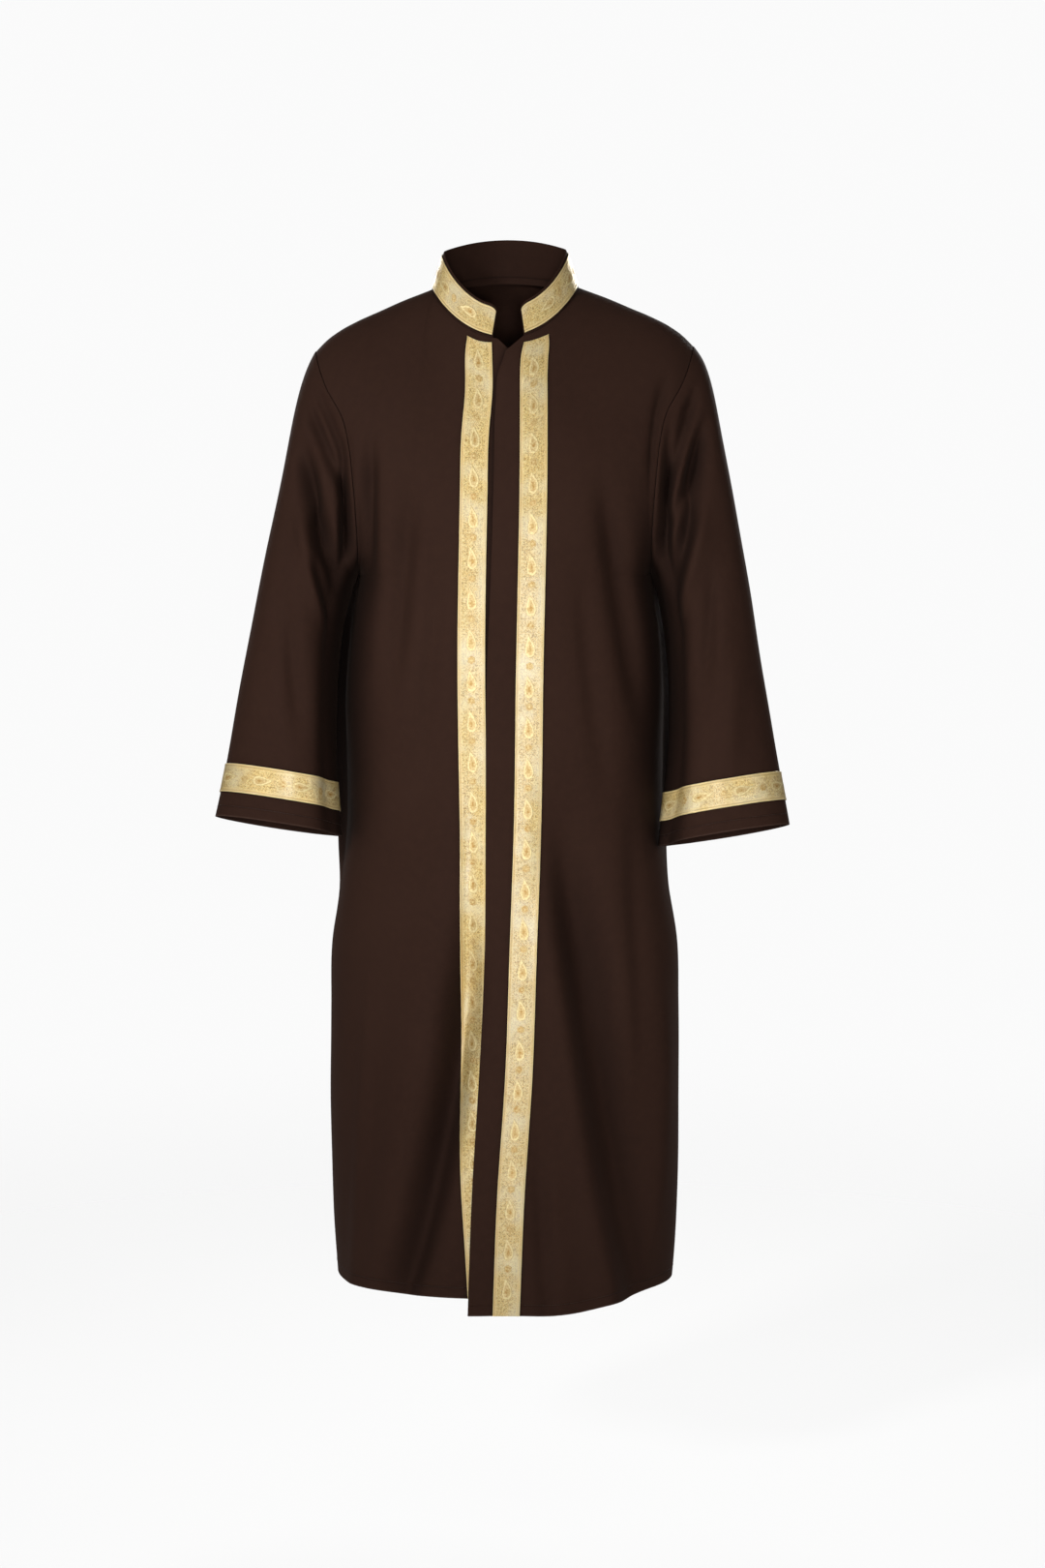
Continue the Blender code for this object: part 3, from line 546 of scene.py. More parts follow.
def hold_rows():
    """1 over the cloth and 0 along the shoulder seam and the neckline."""
    skirt, yoke = panel_rows()
    return np.concatenate([np.ones_like(skirt), smooth((1.0 - yoke) / FOLD_HOLD_YOKE)])


print("a panel has", len(hold_rows()), "rows, and", MAIN_COLUMNS, "columns up to its ribbon")

# %% Laying and folding a panel
def lay_panel(names, fronts, columns, top_x, top_height, hem_line, sag):
    """Rows from hem to shoulder of places (across, depth, height) on the body's surface."""
    depth_name, armhole_name = names
    skirt, yoke = panel_rows()

    def spaced(height):
        width = body_size("half_width", height)
        power = body_size("round", height)
        last = np.arccos((inner_line(fronts, height) / width) ** (power / 2.0))
        return width * np.abs(np.cos(columns.turn * last)) ** (2.0 / power)

    def ended(main, height):
        return main - past_inner(fronts, columns, height)

    level = np.full((1, len(top_x)), HEM[0].left)
    hem = hem_line(ended(spaced(level), level))
    low = hem + (ARMPIT - hem) * skirt
    low_x = ended(spaced(low), low)

    pull = np.where(yoke <= RIBBON_TOP_SHARE, (yoke / RIBBON_TOP_SHARE) ** RIBBON_TOP_REACH,
                    (1.0 - yoke) / (1.0 - RIBBON_TOP_SHARE))
    rise = (1.0 - np.cos(np.pi * yoke)) / 2.0
    high = ARMPIT + (top_height - ARMPIT) * rise - sag * pull
    armpit_x = spaced(np.full((1, len(top_x)), ARMPIT))
    top_main = top_x + past_inner(fronts, columns, top_height)
    low_share = (armpit_x - armpit_x[:, :1]) / (armpit_x[:, -1:] - armpit_x[:, :1])
    top_share = (top_main - top_main[0]) / (top_main[-1] - top_main[0])
    share = low_share + (top_share - low_share) * smooth(yoke)
    outer = curve(YOKE, "height", armhole_name, high[:, :1])
    high_x = ended(outer + (inner_line(fronts, high) - outer) * share, high)

    across = np.concatenate([low_x, high_x])
    height = np.concatenate([low, high])
    return across, body_depth(depth_name, across, height), height


def place_in_world(x, y, height):
    """Stack coordinates into points and tilt the shoulders."""
    tilt = SHOULDER_TILT * x * smooth((height - ARMPIT) / TILT_RISE)
    return np.stack([x, y, height + tilt], axis=2)


def fold_panel(points, folds, hold):
    """Press folds and ripples into a panel along its normals; seams stay where they are."""
    normals = grid_normals(points)
    depth = fold_field(folds, points[:, :, 0], points[:, :, 2]) * np.abs(normals[:, :, 1])
    near_hem = smooth(1.0 - (points[:, :, 2] - points[:1, :, 2]) / HEM_REACH)
    folded = points + normals * ((depth + ripple_field(points)) * hold)[:, :, None]
    folded[:, :, 2] += HEM_LIFT * depth * hold * near_hem
    return folded


print("the front ribbons end at row", RIBBON_TOP_ROW)

# %% The fronts
def front_points(side, fronts, collar_end, lift):
    """Points of a front panel: rows from hem to shoulder, columns in the direction of -X."""
    number = np.arange(MAIN_COLUMNS + RIBBON_COLUMNS + MARGIN_COLUMNS)
    last_main = MAIN_COLUMNS - 1
    columns = Columns(*(np.clip((number - start) / count, 0.0, 1.0) for start, count in (
        (0, last_main), (last_main, RIBBON_COLUMNS), (last_main + RIBBON_COLUMNS, MARGIN_COLUMNS))))
    neck_front = np.full(len(columns.turn), NECK_SIDE_HEIGHT - NECK_FRONT_DROP)
    top_x = inner_line(fronts, neck_front) - past_inner(fronts, columns, neck_front)
    last = np.arccos(top_x[MAIN_COLUMNS - 1] / NECK_HALF_WIDTH)
    top_x[:SEAM_COLUMNS + 1] = np.linspace(SHOULDER_END, NECK_HALF_WIDTH, SEAM_COLUMNS + 1)
    turn = np.linspace(0.0, last, NECK_COLUMNS + 1)
    top_x[SEAM_COLUMNS:MAIN_COLUMNS] = NECK_HALF_WIDTH * np.cos(turn)
    neckline = front_neckline(np.minimum(top_x, NECK_HALF_WIDTH), collar_end)
    ridge = curve(SHOULDER, "across", "height", top_x)
    top_height = np.where(np.arange(len(top_x)) <= SEAM_COLUMNS, ridge, neckline)
    drop_places = [top_x[MAIN_COLUMNS + RIBBON_COLUMNS - 1], top_x[MAIN_COLUMNS - 1], NECK_HALF_WIDTH]
    sag = np.interp(top_x, drop_places, [0.0, RIBBON_TOP_DROP, 0.0])

    def hem_line(across):
        return curve(HEM, "across", "left" if side > 0 else "right", np.abs(across))

    across, depth, height = lay_panel(("front_depth", "front_armhole"), fronts, columns,
                                      top_x, top_height, hem_line, sag)
    raised = lift * smooth((LAP_START - across) / (LAP_START - LAP_FULL))
    points = place_in_world(side * across, SEWN_INTO - depth - raised, height)
    hold = hold_rows() * smooth(np.arange(len(top_x)) / (FOLD_HOLD_COLUMNS * FINER))
    if side < 0:
        points, hold = points[:, ::-1], hold[:, ::-1]
    return fold_panel(points, FRONT_FOLDS, hold)


front_left = front_points(1.0, FRONT_LEFT, COLLAR_END_LEFT, LAP_LIFT)
front_right = front_points(-1.0, FRONT_RIGHT, COLLAR_END_RIGHT, 0.0)
print("fronts:", front_left.shape[:2], front_right.shape[:2], "points")

# %% The back
def back_points():
    """Points of the back: rows from hem to shoulder, columns in the direction of +X."""
    columns = Columns(np.linspace(0.0, 1.0, MAIN_COLUMNS), None, None)
    seam_x = np.linspace(SHOULDER_END, NECK_HALF_WIDTH, SEAM_COLUMNS + 1)
    turn = np.linspace(0.0, np.pi / 2.0, NECK_COLUMNS + 1)[1:]
    top_x = np.concatenate([seam_x, NECK_HALF_WIDTH * np.cos(turn)])
    ridge = curve(SHOULDER, "across", "height", top_x)
    top_height = np.where(np.arange(len(top_x)) <= SEAM_COLUMNS, ridge, back_neckline(top_x))
    middle = (HEM[-1].right + HEM[-1].left) / 2.0
    halves = []
    for side, end in ((-1.0, HEM[-1].right), (1.0, HEM[-1].left)):
        def hem_line(across):
            return middle + (end - middle) * smooth(across / HEM[-2].across)

        across, depth, height = lay_panel(("back_depth", "back_armhole"), None, columns,
                                          top_x, top_height, hem_line, np.zeros_like(top_x))
        half = place_in_world(side * across, depth - SEWN_INTO, height)
        from_middle = np.abs(half[:, :, 0])
        slope = (half[:, -1, 1] - half[:, -2, 1]) / (from_middle[:, -2] - from_middle[:, -1])
        reach = np.clip(1.0 - from_middle / NAPE_REACH, 0.0, 1.0)
        half[:, :, 1] += slope[:, None] * from_middle * reach ** 2
        halves.append(half)
    points = np.concatenate([halves[0], halves[1][:, -2::-1]], axis=1)
    behind = points[:, :, 1]
    share = smooth(behind / SWELL_FROM) * smooth((SWELL_UNTIL - behind) / (SWELL_UNTIL - SWELL_FROM))
    swell = [curve(SIDE_SWELL, "height", side, points[:, :, 2]) for side in ("left", "right")]
    points[:, :, 0] += share * np.where(points[:, :, 0] > 0.0, swell[0], -swell[1])
    from_edge = np.minimum(np.arange(points.shape[1]), np.arange(points.shape[1])[::-1])
    hold = hold_rows() * smooth(from_edge / (FOLD_HOLD_COLUMNS * FINER))
    return fold_panel(points, BACK_FOLDS, hold)


back = back_points()
print("back:", back.shape[:2], "points")

# %% [markdown]
# ## Sleeves
#
# A sleeve is a tube of rings. Its first ring is the armhole, taken from the panels' own edges,
# and its last is the cuff, a leaning oval in front of the hip. Between them the cloth bows out
# over the shoulder before it falls. The arm pulls folds from the shoulder to the underarm,
# the deepest of them right beside the body.

# %% Sleeve sizes
# The cuff's middle and half sizes, how much higher its outer side and lower its back side lies,
# and how far the sleeve swells outwards.
Sleeve = namedtuple("Sleeve", "x y z half_width half_depth lean back_drop swell")
SLEEVE_LEFT = Sleeve(0.2648, -0.060, -0.6565, 0.0800, 0.047, 0.0261, 0.0190, 0.0165)
SLEEVE_RIGHT = Sleeve(0.2735, -0.060, -0.6450, 0.0779, 0.047, 0.0237, 0.0190, 0.0115)
ARMHOLE_GAP = 0.0009            # the sleeve starts this far outside the panels' edges
SWELL_START = 0.05              # share of the length in which the outer swell comes in
INNER_SWELL = 0.0170            # how far the underarm side bows out
INNER_SKEW = 0.8                # below 1 its fullest place lies nearer the armhole
DEPTH_SWELL = 0.0080            # how far the sleeve's front and back bow out
CAP_BOW = 0.0200                # and the most that they bend away from the body
CAP_BOW_PEAK = 4.0 / 27.0       # the most that a share times (1 - share) squared can be
SLEEVE_HOLD = 0.035             # share of the length that the armhole seam holds flat
CUFF_EDGE_TO_RIBBON = 0.0300
SLEEVE_CROWDING = 1.3           # above 1 the rings crowd towards the armhole
SLEEVE_ROWS = 15 * FINER
EDGE_ROWS = 10                  # rows below the cuff's ribbon

# A seam allowance is the cloth past a seam, folded inside: how far in, and how far along.
Allowance = namedtuple("Allowance", "inside along")
ALLOWANCE = [Allowance(0.0027, 0.0080), Allowance(0.0024, 0.0040), Allowance(0.0014, 0.0008)]


def add_allowance(points, inward, along):
    """Rows of seam allowance before a grid's first row."""
    rows = [points[0] + inward * step.inside + along * step.along for step in ALLOWANCE]
    return np.concatenate([rows, points])


def towards_middle(ring, axis):
    """Unit steps from each point of a ring to its middle, square to one axis."""
    step = ring.mean(axis=0) - ring
    step[:, axis] = 0.0
    return step / np.linalg.norm(step, axis=1, keepdims=True)


print("cuffs:", SLEEVE_LEFT[:3], "and", (-SLEEVE_RIGHT.x, *SLEEVE_RIGHT[1:3]))

# %% Sleeve folds
# They are placed by their distance from the robe's middle plane.
SLEEVE_FOLDS_LEFT_FRONT = [
    Fold(-0.095, 0.232, 0.212, 0.184, -0.262, -0.0097, 0.0085, 0.2),
    Fold(-0.130, 0.246, 0.224, 0.186, -0.300, -0.0090, 0.0085, 0.2),
    Fold(-0.110, 0.196, 0.189, 0.186, -0.390, -0.0150, 0.0085, 0.5),
    Fold(-0.150, 0.240, 0.222, 0.190, -0.372, -0.0173, 0.0120, 0.4),
    Fold(-0.250, 0.236, 0.222, 0.196, -0.420, 0.0072, 0.0100, 0.0),
    Fold(-0.290, 0.254, 0.243, 0.232, -0.520, -0.0083, 0.0130, 0.0),
    Fold(-0.400, 0.282, 0.272, 0.268, -0.600, 0.0048, 0.0150, 0.0),
    Fold(-0.290, 0.196, 0.199, 0.200, -0.680, -0.0190, 0.0130, 0.2),
]
SLEEVE_FOLDS_LEFT_BACK = [
    Fold(-0.110, 0.236, 0.220, 0.196, -0.270, -0.0072, 0.0090, 0.0),
    Fold(-0.160, 0.250, 0.226, 0.200, -0.330, -0.0066, 0.0090, 0.0),
    Fold(-0.210, 0.250, 0.228, 0.200, -0.390, -0.0126, 0.0125, 0.4),
    Fold(-0.330, 0.262, 0.250, 0.244, -0.560, -0.0066, 0.0140, 0.0),
]
SLEEVE_FOLDS_RIGHT_FRONT = [
    Fold(-0.095, 0.226, 0.206, 0.180, -0.225, -0.0090, 0.0085, 0.2),
    Fold(-0.120, 0.242, 0.214, 0.182, -0.255, -0.0097, 0.0085, 0.2),
    Fold(-0.110, 0.190, 0.186, 0.184, -0.390, -0.0150, 0.0085, 0.5),
    Fold(-0.160, 0.246, 0.224, 0.186, -0.372, -0.0188, 0.0120, 0.4),
    Fold(-0.240, 0.246, 0.230, 0.204, -0.430, 0.0072, 0.0100, 0.0),
    Fold(-0.310, 0.230, 0.216, 0.202, -0.400, -0.0090, 0.0085, 0.2),
    Fold(-0.330, 0.268, 0.252, 0.240, -0.560, -0.0075, 0.0140, 0.0),
    Fold(-0.290, 0.196, 0.202, 0.206, -0.680, -0.0190, 0.0130, 0.2),
]
SLEEVE_FOLDS_RIGHT_BACK = [
    Fold(-0.110, 0.232, 0.222, 0.200, -0.250, -0.0072, 0.0090, 0.0),
    Fold(-0.150, 0.250, 0.226, 0.198, -0.320, -0.0066, 0.0090, 0.0),
    Fold(-0.200, 0.246, 0.224, 0.198, -0.380, -0.0132, 0.0125, 0.4),
    Fold(-0.340, 0.258, 0.250, 0.240, -0.570, -0.0066, 0.0140, 0.0),
]
print("folds of the left sleeve:", len(SLEEVE_FOLDS_LEFT_FRONT + SLEEVE_FOLDS_LEFT_BACK),
      "and of the right one:", len(SLEEVE_FOLDS_RIGHT_FRONT + SLEEVE_FOLDS_RIGHT_BACK))

# %% Laying a sleeve
def sleeve_points(side, front, back, sleeve, front_folds, back_folds):
    """Points of a sleeve: rings from the armhole to the cuff, armpit first."""
    front_edge = front[SKIRT_ROWS:, 0 if side > 0 else -1]
    back_edge = back[SKIRT_ROWS:, -1 if side > 0 else 0]
    top = (front_edge[-1] + back_edge[-1]) / 2.0
    bottom = (front_edge[0] + back_edge[0]) / 2.0
    armhole = np.concatenate([[bottom], front_edge[1:-1], [top], back_edge[-2:0:-1]])
    armhole[:, 0] += side * ARMHOLE_GAP
    angle = 2.0 * np.pi * np.arange(len(armhole)) / len(armhole)

    outward = np.array([side, 0.0, sleeve.lean / (2.0 * sleeve.half_width)])
    backward = np.array([0.0, 1.0, -sleeve.back_drop / (2.0 * sleeve.half_depth)])
    outward /= np.linalg.norm(outward)
    backward /= np.linalg.norm(backward)
    end = (np.array([side * sleeve.x, sleeve.y, sleeve.z])
           - np.cos(angle)[:, None] * sleeve.half_width * outward
           - np.sin(angle)[:, None] * sleeve.half_depth * backward)

    length = np.linalg.norm(end - armhole, axis=1)[None, :]
    band = CUFF_EDGE_TO_RIBBON + RIBBON_WIDTH * np.linspace(1.0, 0.0, RIBBON_COLUMNS + 1)
    edge = CUFF_EDGE_TO_RIBBON * np.linspace(1.0, 0.0, EDGE_ROWS + 1)[1:]
    rows = np.linspace(0.0, 1.0, SLEEVE_ROWS + 1)[:-1, None] ** SLEEVE_CROWDING
    main = rows * (1.0 - band[0] / length)
    along = np.concatenate([main, 1.0 - np.append(band, edge)[:, None] / length])
    points = armhole[None] + (end - armhole)[None] * along[:, :, None]

    inner_share = (1.0 + np.cos(angle))[None, :] / 2.0
    outer = sleeve.swell * (1.0 - np.exp(-along / SWELL_START)) * (1.0 - along)
    inner = INNER_SWELL * np.sin(np.pi * along ** INNER_SKEW)
    bow = CAP_BOW / CAP_BOW_PEAK * along * (1.0 - along) ** 2 * np.sin(angle)[None, :] ** 2
    points[:, :, 0] += side * (outer * (1.0 - inner_share) + inner * inner_share + bow)
    points[:, :, 1] -= DEPTH_SWELL * np.sin(np.pi * along) * np.sin(angle)[None, :]
    if side < 0:
        points, along = points[:, ::-1], along[:, ::-1]

    normals = grid_normals(points, ring=True)
    across, height = np.abs(points[:, :, 0]), points[:, :, 2]
    depth = (fold_field(front_folds, across, height) * np.clip(-normals[:, :, 1], 0.0, 1.0)
             + fold_field(back_folds, across, height) * np.clip(normals[:, :, 1], 0.0, 1.0)
             + ripple_field(points))
    points = points + normals * (depth * smooth(along / SLEEVE_HOLD))[:, :, None]
    return add_allowance(points, towards_middle(points[0], 0), np.array([-side, 0.0, 0.0]))


sleeve_left = sleeve_points(1.0, front_left, back, SLEEVE_LEFT,
                            SLEEVE_FOLDS_LEFT_FRONT, SLEEVE_FOLDS_LEFT_BACK)
sleeve_right = sleeve_points(-1.0, front_right, back, SLEEVE_RIGHT,
                             SLEEVE_FOLDS_RIGHT_FRONT, SLEEVE_FOLDS_RIGHT_BACK)
print("sleeves:", sleeve_left.shape[:2], "points each")

# %% [markdown]
# ## The stand collar
#
# A stand is a straight strip sewn to the neckline and standing up round the neck, leaning in a
# little. Its foot is the neckline itself, taken from the panels' upper edges, so it follows
# them whatever their sizes. Its two front corners are quarter rounds.

# %% Collar
COLLAR_GAP = 0.0006             # between the neckline and the collar's foot
COLLAR_HEIGHT = 0.0440
COLLAR_RISE_FRONT = 0.0385      # how high its upper edge stands above its foot in front
COLLAR_RISE_SIDE = 0.0450       # and from the sides round the back
COLLAR_LEAN = 0.150             # share of the way to the neck's middle that it leans in
COLLAR_CORNER = 0.0110          # radius of its front corners
COLLAR_CORNER_STEPS = (0.0006, 0.0012, 0.0022, 0.0035, 0.0050, 0.0070, 0.0090, 0.0110)
COLLAR_CLOTH_BELOW = 0.0030     # cloth that shows below the ribbon
COLLAR_CLOTH_ABOVE = 0.0040     # and above it
COLLAR_ROWS = (1, 2, 1)         # the solid's rows below, under and above the ribbon
COLLAR_END_LEAN = (0.0042, 0.0020)    # how far the two front ends lean over the opening
COLLAR_LEAN_REACH = 0.020
COLLAR_SOFTENING = 0.016        # the upper edge runs straight past corners of the neckline


def neck_ring(right, back, left):
    """The upper edges round the neck, from the right ribbon by the back to the left one."""
    past = SEAM_COLUMNS + NECK_COLUMNS + RIBBON_COLUMNS
    right_part = right[-1, MARGIN_COLUMNS:MARGIN_COLUMNS + past - SEAM_COLUMNS]
    back_part = back[-1, SEAM_COLUMNS + 1:-SEAM_COLUMNS - 1]
    left_part = left[-1, SEAM_COLUMNS + 1:past + 1]
    sides = [(right[-1, -SEAM_COLUMNS - 1] + back[-1, SEAM_COLUMNS]) / 2.0,
             (left[-1, SEAM_COLUMNS] + back[-1, -SEAM_COLUMNS - 1]) / 2.0]
    return np.concatenate([right_part, sides[:1], back_part, sides[1:], left_part])


def collar_points(ring):
    """Points of the stand: rows upwards, columns from the right front round the neck."""
    walk = walk_along(ring)
    steps = np.array(COLLAR_CORNER_STEPS)
    inner = walk[(walk > COLLAR_CORNER) & (walk < walk[-1] - COLLAR_CORNER)]
    places = np.concatenate([[0.0], steps, inner, walk[-1] - steps[::-1], walk[-1:]])
    foot = np.stack([np.interp(places, walk, ring[:, axis]) for axis in range(3)], axis=1)
    foot[:, 2] += COLLAR_GAP

    back_share = smooth((foot[:, 1] - foot[:, 1].min()) / -foot[:, 1].min())
    rise = COLLAR_RISE_FRONT + (COLLAR_RISE_SIDE - COLLAR_RISE_FRONT) * back_share
    from_end = np.minimum(places, walk[-1] - places)
    reach = np.minimum(COLLAR_SOFTENING, from_end)[:, None] + 1e-6
    weights = np.exp(-((places[:, None] - places) / reach) ** 2) * np.gradient(places)
    guide = weights @ foot / weights.sum(axis=1, keepdims=True)
    centre = (foot.min(axis=0) + foot.max(axis=0)) / 2.0
    inwards = (centre - foot) * COLLAR_LEAN * np.array([1.0, 1.0, 0.0])
    top = guide + inwards + rise[:, None] * np.array([0.0, 0.0, 1.0])
    lean = np.where(places < walk[-1] / 2.0, COLLAR_END_LEAN[0], -COLLAR_END_LEAN[1])
    top[:, 0] += lean * smooth(1.0 - from_end / COLLAR_LEAN_REACH)
    inset = np.clip(COLLAR_CORNER - from_end, 0.0, COLLAR_CORNER)
    cut = COLLAR_CORNER - np.sqrt(COLLAR_CORNER ** 2 - inset ** 2)
    full = 1.0 - cut / COLLAR_HEIGHT
    edges = (0.0, COLLAR_CLOTH_BELOW, COLLAR_HEIGHT - COLLAR_CLOTH_ABOVE, COLLAR_HEIGHT)
    bands = [np.linspace(low, high, FINER * steps + 1)[1:]
             for low, high, steps in zip(edges, edges[1:], COLLAR_ROWS)]
    share = np.concatenate([[0.0], *bands])[:, None] / COLLAR_HEIGHT * full
    points = foot + (top - foot) * share[:, :, None]
    return add_allowance(points, towards_middle(foot, 2), np.array([0.0, 0.0, -1.0]))


collar = collar_points(neck_ring(front_right, back, front_left))
print("collar:", collar.shape[:2], "points")

# %% [markdown]
# ## Reading a grid between its points
#
# Ribbons, stitches and figures follow the cloth below them at places of their own. A small
# helper reads any grid at fractional rows or columns along a smooth curve, so what is laid on
# the cloth bends as softly as the cloth does and never shows the grid's facets.

# %% Reading between grid points
def soft_slopes(grid, axis):
    """Slopes along a grid that stay small where its points crowd, so no curve doubles back."""
    steps = np.moveaxis(np.diff(grid, axis=axis), axis, 0)
    steps = np.concatenate([steps[:1], steps, steps[-1:]])
    sizes = np.linalg.norm(steps, axis=2, keepdims=True) + 1e-9
    slopes = (steps[:-1] * sizes[1:] + steps[1:] * sizes[:-1]) / (sizes[:-1] + sizes[1:])
    return np.moveaxis(slopes, 0, axis)


def read_between(grid, places, axis):
    """A grid read at fractional rows (axis 0) or columns (axis 1), along a smooth curve."""
    places = np.atleast_1d(np.asarray(places, float))
    slopes = soft_slopes(grid, axis)
    low = np.clip(np.floor(places).astype(int), 0, grid.shape[axis] - 2)
    part = (places - low).reshape((-1, 1, 1) if axis == 0 else (1, -1, 1))
    ends = [np.take(values, low + step, axis) for values in (grid, slopes) for step in (0, 1)]
    return bend_between(*ends, part)


def close_ring(grid):
    """A ring's grid with its first column repeated at its end."""
    return np.concatenate([grid, grid[:, :1]], axis=1)


print("row spacing of the skirt:", round(float(walk_along(front_left[:2, 0])[1]), 4), "m")

# %% [markdown]
# ## The finishes
#
# The robe's cloth is a fine wool twill: dark brown, matt, with a diagonal weave that shows only
# close by and a soft sheen where it turns away. The ribbon is woven brocade: a pale gold ground
# of metallic weft with small specks, curling lines and soft patches of painted sheen, a paler
# colour that stands in for highlights, and brighter selvedges with a thin dark line inside them.
# Both patterns are laid in metres on the flat cut of each piece, a UV map, so the weave follows
# the cloth into every fold as real weave does. Where other cloth is near, as in folds and under
# the arms, shade is painted into the twill: its colour is darkened there.

# %% Helpers for node trees
FIGURE_BAND = "figure_band"     # 0 is the deep outline of a figure, 1 its bright rim
CUT_MAP = "cut"                 # the UV map with each piece's flat cut in metres
BAND_PERIOD = math.pi / 10.0    # from crest to crest of bands that have a scale of 1
Noise = namedtuple("Noise", "waves detail roughness")    # waves a metre


def do_math(tree, operation, first, second=0.0, third=0.0):
    """One Math node, and its result."""
    return add_node(tree, "ShaderNodeMath", {"operation": operation},
                    _0=first, _1=second, _2=third).outputs[0]


def mix_colours(tree, share, low, high):
    """One Mix node for colours, and its result."""
    low, high = ((*colour, 1.0) if isinstance(colour, tuple) else colour for colour in (low, high))
    return add_node(tree, "ShaderNodeMix", {"data_type": "RGBA"},
                    _0=share, _6=low, _7=high).outputs[2]


def lay_over(tree, ground, layers):
    """A colour with others laid over it, each by its mask and its strength."""
    for mask, strength, colour in layers:
        ground = mix_colours(tree, do_math(tree, "MULTIPLY", mask, strength), ground, colour)
    return ground


def soft_step(tree, value, low, high):
    """A smooth step from 0 at `low` to 1 at `high`, of either direction."""
    return add_node(tree, "ShaderNodeMapRange", {"interpolation_type": "SMOOTHSTEP"},
                    _0=value, _1=low, _2=high).outputs[0]


def read_cut(tree):
    """The flat cut of the piece: the vector, and its metres up from the hem or across a ribbon."""
    flat = add_node(tree, "ShaderNodeUVMap", {"uv_map": CUT_MAP}).outputs[0]
    return flat, add_node(tree, "ShaderNodeSeparateXYZ", _0=flat).outputs[1]


def read_noise(tree, vector, noise):
    """Noise from 0 to 1 on a vector in metres."""
    return add_node(tree, "ShaderNodeTexNoise", Vector=vector, Scale=noise.waves,
                    Detail=noise.detail, Roughness=noise.roughness).outputs[0]


def add_bands(tree, vector, pitch, distortion, detail):
    """Straight bands across a vector's X, one to each pitch in metres."""
    return add_node(tree, "ShaderNodeTexWave", {"wave_type": "BANDS", "bands_direction": "X"},
                    Vector=vector, Scale=BAND_PERIOD / pitch, Distortion=distortion,
                    Detail=detail).outputs[1]


def lay_bumps(tree, *bumps):
    """The Normal input of Bump nodes laid over one another, each a height and its metres."""
    below = {}
    for height, distance in bumps:
        made = add_node(tree, "ShaderNodeBump", Height=height, Distance=distance, **below)
        below = {"Normal": made.outputs[0]}
    return below


print("helpers:", [helper.__name__ for helper in (do_math, mix_colours, lay_over, soft_step,
                                                 read_cut, read_noise, add_bands, lay_bumps)])

# %% Brown twill
TWILL_COLOUR = (0.0330, 0.0145, 0.0094)
TWILL_LIGHT = (0.0480, 0.0225, 0.0150)
TWILL_DARK = (0.0215, 0.0090, 0.0057)
TWILL_RUBBED = (0.085, 0.050, 0.038)
# painted shade: the colour that the twill darkens to where other cloth is near
TWILL_PAINTED_SHADE = (0.0035, 0.0016, 0.0012)
RUBBING = Noise(300.0, 2.0, 0.5)
FIBRE = Noise(2200.0, 3.0, 0.5)
MELANGE = Noise(95.0, 4.0, 0.65)
FADING = Noise(7.0, 3.0, 0.5)
DYED_OVER = 0.45                # how much of the ribs' contrast the dye takes
TWILL_PITCH = 0.0009            # one diagonal rib
TWILL_ANGLE = math.radians(58.0)
HEM_TURNED = 0.0130             # the hem is turned up and stitched this far from its edge
HEM_CREASE = 0.0009
RUBBED_EDGE = (0.0026, 0.0004)  # the hem's edge is rubbed pale between these
PAINTED_SHADE_REACH = 0.085            # cloth this near darkens the twill: painted shade in folds and armpits
PAINTED_SHADE_POWER = 2.1
HEM_RELIEF, MELANGE_RELIEF, RIB_RELIEF = 0.00045, 0.00012, 0.00009


def make_twill(name="robe_twill"):
    """Fine brown wool twill with a turned hem, darkened by painted shade where other cloth is near."""
    material, tree, shader = new_material(name)
    flat, from_hem = read_cut(tree)
    turned = add_node(tree, "ShaderNodeVectorRotate", {"rotation_type": "Z_AXIS"},
                      Vector=flat, Angle=TWILL_ANGLE).outputs[0]
    rib = add_bands(tree, turned, TWILL_PITCH, 1.2, 2.0)
    rubbing, fibre, melange, fading = (read_noise(tree, flat, noise)
                                       for noise in (RUBBING, FIBRE, MELANGE, FADING))
    rubbed = do_math(tree, "MULTIPLY", soft_step(tree, from_hem, *RUBBED_EDGE), rubbing)

    ribs = mix_colours(tree, rib, TWILL_DARK, TWILL_LIGHT)
    cloth = lay_over(tree, mix_colours(tree, DYED_OVER, ribs, TWILL_COLOUR), [
        (soft_step(tree, melange, 0.35, 0.75), 0.30, TWILL_LIGHT),
        (soft_step(tree, fading, 0.35, 0.70), 0.22, TWILL_LIGHT),
        (rubbed, 0.9, TWILL_RUBBED),
    ])
    # Painted shade: ambient occlusion darkens the twill's colour in folds and under the arms.
    open_air = add_node(tree, "ShaderNodeAmbientOcclusion", {"samples": 4}, Distance=PAINTED_SHADE_REACH)
    lit = do_math(tree, "POWER", open_air.outputs["AO"], PAINTED_SHADE_POWER)

    away = do_math(tree, "ABSOLUTE", do_math(tree, "SUBTRACT", from_hem, HEM_TURNED))
    crease = soft_step(tree, away, 0.0, HEM_CREASE)
    thicker = soft_step(tree, from_hem, HEM_TURNED + HEM_CREASE, HEM_TURNED - HEM_CREASE)
    feed(shader, Base_Color=mix_colours(tree, lit, TWILL_PAINTED_SHADE, cloth),
         Roughness=do_math(tree, "MULTIPLY_ADD", melange, 0.16, 0.70), Specular_IOR_Level=0.08,
         Sheen_Weight=0.04, Sheen_Roughness=0.45, Sheen_Tint=(0.50, 0.31, 0.23, 1.0),
         **lay_bumps(tree, (do_math(tree, "MULTIPLY_ADD", thicker, 0.8, crease), HEM_RELIEF),
                     (melange, MELANGE_RELIEF),
                     (do_math(tree, "MULTIPLY_ADD", fibre, 0.5, rib), RIB_RELIEF)))
    return material


twill = make_twill()
print(twill.name, "has", len(twill.node_tree.nodes), "nodes")

